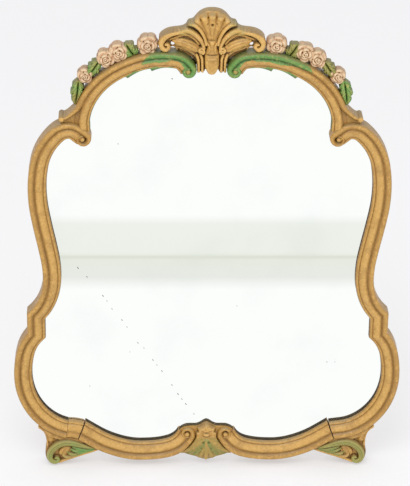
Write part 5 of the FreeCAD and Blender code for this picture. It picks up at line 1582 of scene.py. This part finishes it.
def add(tree: Tree, kind: str, inputs: Optional[dict] = None, stops: Sequence[tuple[float, str]] = (),
        **settings) -> Shader:
    """Adds a shader node.

    Args:
        tree: the material's node tree.
        kind: kind of node, without its leading "ShaderNode".
        inputs: for each input, by name or number, its value, an output socket, or a node for its result.
        stops: places and hex colours of a colour ramp.
        **settings: other properties of the node.

    Returns:
        The new node.
    """
    made = tree.nodes.new("ShaderNode" + kind)
    for name, value in {**USUAL.get(kind, {}), **settings}.items():
        setattr(made, name, value)
    for name, value in (inputs or {}).items():
        if isinstance(value, Shader):
            value = next(output for output in value.outputs if output.enabled)
        if isinstance(value, Socket):
            tree.links.new(value, made.inputs[name])
        else:
            made.inputs[name].default_value = value
    if stops:
        for _ in stops[2:]:
            made.color_ramp.elements.new(0.5)
        for element, (place, code) in zip(made.color_ramp.elements, stops):
            element.position = place
            element.color = linear(code)
    return made


def started(name: str) -> tuple[Material, Tree, Socket]:
    """Starts an empty material.

    Args:
        name: what the finish is and how it was made.

    Returns:
        The material, its tree and coordinates in metres.
    """
    material = bpy.data.materials.new(name)
    material.use_nodes = True
    tree = material.node_tree
    tree.nodes.clear()
    return material, tree, add(tree, "TexCoord").outputs["Object"]


@dataclass(frozen=True)
class Lacquer:
    """Coloured lacquer brushed over gesso by hand, rubbed back on the ridges, with glaze and painted shade in
    the hollows.
    """

    name: str
    light: str  # Colour where glaze and painted shade are thinnest, and of bright streaks.
    base: str  # Colour of plain faces.
    warm: str  # Colour where the glaze is thicker and the painted shade deeper.
    deep: str  # Colour of the hollows: glaze and painted shade.
    darkest: str  # Colour of the deepest hollows: glaze and painted shade.
    worn: str  # Colour of ridges that are rubbed through.
    roughness: float = 0.46
    coat: float = 0.08  # Weight of the varnish over it.
    gloss_spread: float = 0.12  # How far brush marks change the roughness.
    dust: str = "998862"  # Colour of the dust on faces that look up.
    dust_share: float = 0.6  # How much of it lies there.
    patch_mm: float = 30.0  # Size of patches of thicker and thinner lacquer.
    brush_mm: float = 4.0  # Width of a brush mark.
    # Size of the specks in the film, really 0.2 mm, and drawn coarser so that they show.
    grit_mm: float = 0.8
    streak_mm: float = 9.0  # Size of bright streaks, where the bronze powder settled.
    rubbed_mm: float = 7.0  # Size of marks where green is rubbed thin.

    def material(self) -> Material:
        """Builds the finish.

        Returns:
            The material.
        """
        material, tree, place = started(self.name)
        hollow = add(tree, "Attribute", attribute_name="hollow").outputs["Fac"]
        green = add(tree, "Attribute", attribute_name="green").outputs["Fac"]
        patch = add(tree, "TexNoise", {"Vector": place, "Scale": 1 / (self.patch_mm * MM), "Detail": 4.0})
        brush = add(tree, "TexNoise", {"Vector": place, "Scale": 1 / (self.brush_mm * MM), "Detail": 3.0,
                                       "Distortion": 0.8})
        grit = add(tree, "TexNoise", {"Vector": place, "Scale": 1 / (self.grit_mm * MM), "Detail": 2.0})
        uneven = add(tree, "Math", {0: brush, 1: 0.5}, operation="SUBTRACT")
        # How deep the glaze and the painted shade lie: the hollow layer, shifted by brush marks.
        depth = add(tree, "Math", {0: uneven, 1: 0.42, 2: hollow}, operation="MULTIPLY_ADD")
        colour = add(tree, "ValToRGB", {0: depth}, [(0, self.light), (0.28, self.base), (0.58, self.warm),
                                                    (0.85, self.deep), (1, self.darkest)])
        thick = add(tree, "MapRange", {0: patch, 1: 0.46, 2: 0.66, 4: 0.55})
        colour = add(tree, "Mix", {0: thick, 6: colour, 7: linear(self.warm)})
        # Streaks lie on the faces and fade towards the hollows.
        streak = add(tree, "TexNoise", {"Vector": place, "Scale": 1 / (self.streak_mm * MM), "Detail": 3.0,
                                        "Distortion": 1.4})
        streak = add(tree, "MapRange", {0: streak, 1: 0.5, 2: 0.66})
        plain = add(tree, "MapRange", {0: depth, 1: 0.75, 2: 0.25, 4: 0.75})
        streak = add(tree, "Math", {0: streak, 1: plain}, operation="MULTIPLY")
        colour = add(tree, "Mix", {0: streak, 6: colour, 7: linear(self.light)})
        ridge = add(tree, "MapRange", {0: depth, 1: 0.16, 2: -0.04})
        speck = add(tree, "MapRange", {0: grit, 1: 0.5, 2: 0.66})
        rubbed = add(tree, "Math", {0: ridge, 1: speck}, operation="MULTIPLY")
        colour = add(tree, "Mix", {0: rubbed, 6: colour, 7: linear(self.worn)})
        colour = self._leaf_paint(tree, place, colour, green, depth, brush, patch)
        # Old dust greys every face that looks up, more where the patches are thick.
        facing = add(tree, "SeparateXYZ", {0: add(tree, "NewGeometry").outputs["Normal"]}).outputs["Z"]
        facing = add(tree, "MapRange", {0: facing, 1: 0.45, 2: 0.9})
        thick = add(tree, "MapRange", {0: patch, 1: 0.3, 2: 0.65, 3: 0.55})
        lain = add(tree, "Math", {0: facing, 1: thick}, operation="MULTIPLY")
        lain = add(tree, "Math", {0: lain, 1: self.dust_share}, operation="MULTIPLY")
        colour = add(tree, "Mix", {0: lain, 6: colour, 7: linear(self.dust)})
        rough = add(tree, "MapRange", {0: brush, 1: 0.25, 2: 0.75, 3: self.roughness - self.gloss_spread,
                                       4: self.roughness + self.gloss_spread})
        film = add(tree, "Math", {0: grit, 1: 0.35, 2: brush}, operation="MULTIPLY_ADD")
        bump = add(tree, "Bump", {"Height": film, "Strength": 0.35, "Distance": 0.6 * MM})
        surface = add(tree, "BsdfPrincipled", {"Base Color": colour, "Roughness": rough, "Normal": bump,
                                               "Coat Weight": self.coat, "Coat Roughness": 0.25})
        add(tree, "OutputMaterial", {"Surface": surface})
        return material

    def _leaf_paint(self, tree: Tree, place: Socket, colour: Shader, green: Socket, depth: Shader,
                    brush: Shader, patch: Shader) -> Shader:
        """Lays green lacquer over the parts painted as leaves, thin where the brush ran dry.

        Args:
            tree: the material's node tree.
            place: coordinates in metres.
            colour: colour under the green.
            green: how green each point is: olive glaze up to a half, full green at 1.
            depth: how deep the glaze and the painted shade lie.
            brush: brush marks.
            patch: patches of thicker lacquer.

        Returns:
            The colour with its green.
        """
        # Both greens darken towards the hollows, as glaze and as painted shade.
        full = add(tree, "ValToRGB", {0: depth}, [(0, "82A656"), (0.3, "659244"), (0.6, "4A7736"),
                                                  (0.85, "3D5F2C"), (1, "324A20")])
        olive = add(tree, "ValToRGB", {0: depth}, [(0, "A39A52"), (0.3, "86853F"), (0.6, "6A6E31"),
                                                   (0.85, "525827"), (1, "3C421C")])
        # Yellow shows through where the green was rubbed.
        thin = add(tree, "TexNoise", {"Vector": place, "Scale": 1 / (self.rubbed_mm * MM), "Detail": 3.0,
                                      "Distortion": 1.0})
        thin = add(tree, "MapRange", {0: thin, 1: 0.52, 2: 0.7, 4: 0.65})
        full = add(tree, "Mix", {0: thin, 6: full, 7: linear("B3AC5E")})
        blotch = add(tree, "Math", {0: patch, 1: -0.8, 2: green}, operation="MULTIPLY_ADD")
        blotch = add(tree, "MapRange", {0: blotch, 1: 0.18, 2: 0.48})
        paint = add(tree, "Mix", {0: blotch, 6: olive, 7: full})
        edge = add(tree, "Math", {0: brush, 1: -0.45, 2: green}, operation="MULTIPLY_ADD")
        edge = add(tree, "MapRange", {0: edge, 1: 0.02, 2: 0.3})
        return add(tree, "Mix", {0: edge, 6: colour, 7: paint})


@dataclass(frozen=True)
class Timber:
    """Bare timber, sawn or planed, with long grain, pores and the grey of old dust."""

    name: str
    light: str  # Colour of the early wood.
    dark: str  # Colour of the late wood and the pores.
    grain_mm: float  # Width of a growth ring.
    stretch: float = 25.0  # How many times as long as wide the grain is.
    dust_mm: float = 50.0  # Size of patches of dust.
    dust: str = "9C9488"  # Colour of the dust.
    roughness: float = 0.72

    def material(self) -> Material:
        """Builds the finish.

        Returns:
            The material.
        """
        material, tree, place = started(self.name)
        along, across = 1 / (self.grain_mm * self.stretch * MM), 1 / (self.grain_mm * MM)
        long = add(tree, "Mapping", {"Vector": place, "Scale": (across, across, along)})
        rings = add(tree, "TexNoise", {"Vector": long, "Scale": 1.0, "Detail": 6.0, "Distortion": 1.2})
        pores = add(tree, "TexNoise", {"Vector": long, "Scale": 6.0, "Detail": 2.0})
        dust = add(tree, "TexNoise", {"Vector": place, "Scale": 1 / (self.dust_mm * MM), "Detail": 5.0})
        colour = add(tree, "ValToRGB", {0: rings}, [(0.32, self.dark), (0.5, self.light), (0.68, self.dark)])
        dark = add(tree, "MapRange", {0: pores, 1: 0.58, 2: 0.7, 4: 0.6})
        colour = add(tree, "Mix", {0: dark, 6: colour, 7: linear(self.dark)})
        grey = add(tree, "MapRange", {0: dust, 1: 0.45, 2: 0.7, 4: 0.35})
        colour = add(tree, "Mix", {0: grey, 6: colour, 7: linear(self.dust)})
        rough = add(tree, "MapRange", {0: rings, 1: 0.3, 2: 0.7, 3: self.roughness - 0.08,
                                       4: self.roughness + 0.1})
        bump = add(tree, "Bump", {"Height": pores, "Strength": 0.4, "Distance": 0.5 * MM})
        surface = add(tree, "BsdfPrincipled", {"Base Color": colour, "Roughness": rough, "Normal": bump})
        add(tree, "OutputMaterial", {"Surface": surface})
        return material


@dataclass(frozen=True)
class Metal:
    """Pressed or drawn metal, tarnished in patches, with fine scratches."""

    name: str
    clean: str  # Its own colour.
    tarnish: str  # Colour of the tarnish.
    roughness: float  # Roughness where it is clean.
    patch_mm: float = 6.0  # Size of a patch of tarnish.
    scratch_mm: float = 0.4  # Distance between scratches.

    def material(self) -> Material:
        """Builds the finish.

        Returns:
            The material.
        """
        material, tree, place = started(self.name)
        patch = add(tree, "TexNoise", {"Vector": place, "Scale": 1 / (self.patch_mm * MM), "Detail": 5.0})
        scratch = add(tree, "TexNoise", {"Vector": place, "Scale": 1 / (self.scratch_mm * MM), "Detail": 1.0})
        dull = add(tree, "MapRange", {0: patch, 1: 0.42, 2: 0.66})
        colour = add(tree, "Mix", {0: dull, 6: linear(self.clean), 7: linear(self.tarnish)})
        rough = add(tree, "MapRange", {0: patch, 1: 0.35, 2: 0.7, 3: self.roughness,
                                       4: self.roughness + 0.25})
        bump = add(tree, "Bump", {"Height": scratch, "Strength": 0.15, "Distance": 0.2 * MM})
        surface = add(tree, "BsdfPrincipled", {"Base Color": colour, "Metallic": 1.0, "Roughness": rough,
                                               "Normal": bump})
        add(tree, "OutputMaterial", {"Surface": surface})
        return material


@dataclass(frozen=True)
class Silvering:
    """Float glass silvered on its back, with a faint haze of age."""

    name: str
    tint: str  # Colour of a clear reflection.
    haze: str  # Colour of a hazy one.
    cloud_mm: float = 120.0  # Size of a cloud of haze.

    def material(self) -> Material:
        """Builds the finish.

        Returns:
            The material.
        """
        material, tree, place = started(self.name)
        cloud = add(tree, "TexNoise", {"Vector": place, "Scale": 1 / (self.cloud_mm * MM), "Detail": 3.0})
        hazy = add(tree, "MapRange", {0: cloud, 1: 0.45, 2: 0.75})
        colour = add(tree, "Mix", {0: hazy, 6: linear(self.tint), 7: linear(self.haze)})
        rough = add(tree, "MapRange", {0: cloud, 1: 0.4, 2: 0.8, 3: 0.01, 4: 0.05})
        surface = add(tree, "BsdfPrincipled", {"Base Color": colour, "Metallic": 1.0, "Roughness": rough})
        add(tree, "OutputMaterial", {"Surface": surface})
        return material


class Finishes:
    """All materials of the mirror, and the finish of each CAD node that stays."""

    def __init__(self) -> None:
        """Builds the materials."""
        # Bronze powder in brushed lacquer: warm gold-brown faces, hollows darkened by glaze and by painted
        # shade, and pale rubbed ridges.
        self.gold = Lacquer("brushed_gold_lacquer", "D5A658", "BC9149", "A67A3A", "8A6629", "674A1E",
                            "E8C884").material()
        # Dark ground brushed on and left matt: the edge at the glass shows as a dull near-black line.
        self.wall = Lacquer("brushed_dark_bole", "50452A", "443A22", "38301B", "2D2615", "231D10", "5C5034",
                            0.84, 0.0, dust_share=0.0).material()
        # Green lacquer brushed thin over cream: soft grey-green leaves, yellowish where they are rubbed.
        self.leaf = Lacquer("brushed_leaf_lacquer", "A2B070", "8BA05C", "72884A", "56703A", "42542C",
                            "C6BE84", 0.5, 0.05).material()
        # Pink lacquer brushed thin over cream: petals with pale lips, and rose hollows browned by glaze and
        # by painted shade.
        self.rose = Lacquer("brushed_rose_lacquer", "E4C6A0", "D8B28A", "C89E78", "AE8060", "8C624A",
                            "EAD4B2", 0.52, 0.04, dust="B8AA8C").material()
        # Sawn and left bare: dull pale wood behind, with fine short grain and grey dust.
        self.bare_wood = Timber("sawn_bare_beech", "B99B74", "94744E", 3.0).material()
        # Planed softwood board: wide dark and light bands that run up the whole back.
        self.panel = Timber("planed_pine_panel", "BE9C6E", "9A7648", 7.0).material()
        # Drawn and left plain: small grey heads with brownish rust spots.
        self.steel = Metal("drawn_steel", "8E8E90", "5A4E46", 0.38).material()
        # Pressed from sheet: yellow metal that has gone brown in patches.
        self.brass = Metal("pressed_brass", "B8924A", "7A5E30", 0.3).material()
        # Silvered on its back: a clear reflection that is a little milky in clouds.
        self.glass = Silvering("silvered_float_glass", "FDFEFD", "F8FAF9").material()
        # Where the silver has tarnished through: dull grey points that reflect no clear image.
        self.loss = Metal("tarnished_silver_loss", "A4A8A6", "6C706E", 0.6).material()

    def dress_nodes(self) -> None:
        """Gives each CAD node that stays its finish."""
        kept = {"mirror_plate": self.glass, "back_panel": self.panel, "glass_blocks": self.bare_wood,
                "joint_tongues": self.bare_wood, "panel_brads": self.steel, "hanger_screws": self.steel}
        for side in Side:
            kept[f"{side.word}_hanger_plate"] = self.brass
            kept[f"{side.word}_hanger_ring"] = self.brass
        for name, material in kept.items():
            for node in [o for o in bpy.data.objects if o.name.split(".")[0] == name]:
                node.data.materials.clear()
                node.data.materials.append(material)
                log.info("%s: finished with %s", name, material.name)


# Spots in the silver: x, z and radius of each.
SPOTS = [
    (-247.9, -48.3, 1.5), (-231, -67.3, 1.2), (-200.8, -107.6, 1.4), (-193.2, -118.3, 1),
    (-183.7, -135.4, 1.1), (-164.7, -159, 1.3), (-155.1, -174.1, 1), (-134, -208.7, 1.2), (-122.4, -219.6, 1),
    (-105, -245.7, 1.4), (-97.2, -256.7, 1.1), (-87.4, -269.9, 1.3), (-67.9, -300.7, 1.2), (-56, -320.6, 1.4),
    (-48.2, -331.7, 1.2), (-40.3, -342.8, 1.4), (-24.4, -365.1, 1.2), (-171.3, 206.6, 1.2),
    (-72.1, 335.8, 1.4),
    (-149.4, -228.2, 0.9), (-227.1, -302.6, 1), (55.5, -129.2, 1), (232.3, -250.7, 1.1), (247.8, -250.7, 0.9),
]


@dataclass(frozen=True)
class Silver:
    """Spots where the silver has gone, seen as dark points in the glass."""

    scratched: int = 17  # How many spots, from the first, lie on one scratch and are drawn out along it.
    scratch: float = -55.0  # Heading of the scratch in degrees.
    sunk: float = 0.1  # How far a spot goes into the glass.
    proud: float = 0.08  # How far it stands out of its face.

    def build(self, finishes: Finishes) -> None:
        """Builds the spots on the face of the glass.

        Args:
            finishes: the mirror's materials.
        """
        face = -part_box("mirror_plate")[0][1] / MM - FRAME_BACK
        body = Body()
        turns = np.radians(np.arange(0, 360, 36))
        for k, (x, z, radius) in enumerate(SPOTS):
            wobble = 1 + 0.25 * np.sin(3 * turns + 1.3 * k)
            along, across = (1.7, 0.6) if k < self.scratched else (1.0, 0.8)
            way = direction(self.scratch) * along * radius
            side = leftward(self.scratch) * across * radius
            rim = wobble[:, None] * (np.cos(turns)[:, None] * way + np.sin(turns)[:, None] * side) + [x, z]
            body.add(*prism(rim, face - self.sunk, face + self.proud), {})
        body.finish("silver_loss_spots", [finishes.loss], "silvered_glass")


def standing(right: Field, up: Field, back: Field, place: Sequence[float]) -> Matrix:
    """Matrix of a lamp or camera from its own directions and its place in metres."""
    return Matrix(np.vstack([np.column_stack([right, up, back, place]), [0, 0, 0, 1]]).tolist())


@dataclass(frozen=True)
class Studio:
    """Pale floor, soft lamps and the camera at the photograph's angle."""

    elevation: float = 25.0  # Height of the camera over the mirror's middle in degrees.
    azimuth: float = -1.95  # Its turn to the right in degrees.
    distance: float = 4.6  # Its distance in metres.
    lens: float = 119.56  # Its focal length in millimetres.
    sensor: float = 24.0  # Height of its sensor in millimetres.
    left: float = 0.00684  # Metres by which it stands left of the line to the middle.
    down: float = 0.0057  # Metres by which it stands below that line.
    floor_white: float = 0.45  # Share of plain white in the floor that the camera sees.
    sky: float = 0.84  # Strength of the light from all round.
    fold: Pair = (-1.25, -0.75)  # Where the grey band painted into the floor's reflection starts and ends, in metres along Y.

    def build(self) -> None:
        """Builds floor, lamps, world and camera."""
        self._floor()
        self._world()
        self._lamp("key_lamp", (-0.6, -2.4, 3), 1.8, 46.0)
        self._lamp("fill_lamp", (1.8, -2.8, 0.9), 2.2, 8.0)
        self._camera()
        bpy.context.scene.view_settings.view_transform = "Standard"

    def _floor(self) -> None:
        """Lays the pale floor under the feet."""
        low = cad_box[0][2]
        mesh = bpy.data.meshes.new("studio_floor")
        mesh.from_pydata([(-9, -9, low), (9, -9, low), (9, 9, low), (-9, 9, low)], [], [(0, 1, 2, 3)])
        floor = linked("studio_floor", mesh)
        # Matt paint, lifted to white where the camera sees it, which keeps the mirror's soft shadow.
        material, tree, place = started("pale_matt_floor_paint")
        matt = add(tree, "BsdfDiffuse", {"Color": linear("F4F4F6")})
        white = add(tree, "Emission", {"Color": linear("FEFEFF"), "Strength": 1.0})
        # The glass shows the floor in front of the mirror: white, with a painted reflection of a soft grey
        # band from
        # 1.2 m to 0.8 m in front of it and a thin line at 0.96 m, which only reflected rays see.
        ahead = add(tree, "SeparateXYZ", {0: place}).outputs["Y"]
        ahead = add(tree, "MapRange", {0: ahead, 1: self.fold[0], 2: self.fold[1]},
                    interpolation_type="LINEAR")
        grey = add(tree, "ValToRGB", {0: ahead}, [
            (0.1, "FEFFFE"), (0.21, "F0F2EC"), (0.52, "EFF1EA"), (0.55, "EBEEE5"), (0.574, "DEE0D4"),
            (0.605, "E9EBE2"), (0.79, "EAECE7"), (0.92, "FEFFFE")])
        shown = add(tree, "Emission", {"Color": grey, "Strength": 1.0})
        ray = add(tree, "LightPath").outputs
        share = add(tree, "Math", {0: ray["Is Camera Ray"], 1: self.floor_white}, operation="MULTIPLY")
        direct = add(tree, "MixShader", {0: share, 1: matt, 2: white})
        seen = add(tree, "Math", {0: ray["Is Glossy Ray"], 1: ray["Is Transmission Ray"]},
                   operation="MAXIMUM")
        add(tree, "OutputMaterial", {"Surface": add(tree, "MixShader", {0: seen, 1: direct, 2: shown})})
        mesh.materials.append(material)

    def _world(self) -> None:
        """Surrounds the mirror with soft white light."""
        world = bpy.data.worlds.new("studio_world")
        bpy.context.scene.world = world
        world.use_nodes = True
        tree = world.node_tree
        tree.nodes.clear()
        soft = add(tree, "Background", {"Color": (1.0, 1.0, 1.0, 1.0), "Strength": self.sky})
        white = add(tree, "Background", {"Color": linear("F6F6F8"), "Strength": 1.0})
        ray = add(tree, "LightPath").outputs["Is Camera Ray"]
        add(tree, "OutputWorld", {"Surface": add(tree, "MixShader", {0: ray, 1: soft, 2: white})})

    @staticmethod
    def _lamp(name: str, place: tuple[float, float, float], size: float, power: float) -> None:
        """Hangs a square lamp that points at the mirror.

        Args:
            name: name of the lamp.
            place: its middle in metres.
            size: its side in metres.
            power: its power in watts.
        """
        light = bpy.data.lights.new(name, "AREA")
        light.size = size
        light.energy = power
        lamp = linked(name, light)
        back = np.array(place) / np.linalg.norm(place)
        right = np.cross([0, 0, 1], back)
        right /= np.linalg.norm(right)
        lamp.matrix_world = standing(right, np.cross(back, right), back, place)

    def _camera(self) -> None:
        """Sets the camera at the photograph's angle, level with the frame's upright."""
        azimuth, elevation = math.radians(self.azimuth), math.radians(self.elevation)
        roll = math.atan(-math.tan(azimuth) * math.sin(elevation))
        back = np.array([math.sin(azimuth) * math.cos(elevation), -math.cos(azimuth) * math.cos(elevation),
                         math.sin(elevation)])
        level = np.array([math.cos(azimuth), math.sin(azimuth), 0.0])
        rise = np.cross(back, level)
        right = math.cos(roll) * level + math.sin(roll) * rise
        up = -math.sin(roll) * level + math.cos(roll) * rise
        data = bpy.data.cameras.new("photograph_camera")
        data.sensor_fit = "VERTICAL"
        data.sensor_height = self.sensor
        data.lens = self.lens
        camera = linked("photograph_camera", data)
        place = self.distance * back - self.left * right - self.down * up
        camera.matrix_world = standing(right, up, back, place)
        bpy.context.scene.camera = camera


def main() -> None:
    """Builds the mirror and its studio."""
    logging.basicConfig(level=logging.INFO, format="%(name)s: %(message)s")
    finishes = Finishes()
    mouldings = Mouldings(finishes)
    carvings = Carvings(finishes, mouldings)
    garlands = Garlands(finishes, mouldings)
    for side in Side:
        mouldings.build_arch(side)
        mouldings.build_stile(side)
        carvings.build_foot(side)
        garlands.build(side)
    mouldings.build_rail()
    mouldings.build_wedge()
    carvings.build_crest()
    carvings.build_palmette()
    Silver().build(finishes)
    finishes.dress_nodes()
    Studio().build()


if __name__ == "__main__":
    main()
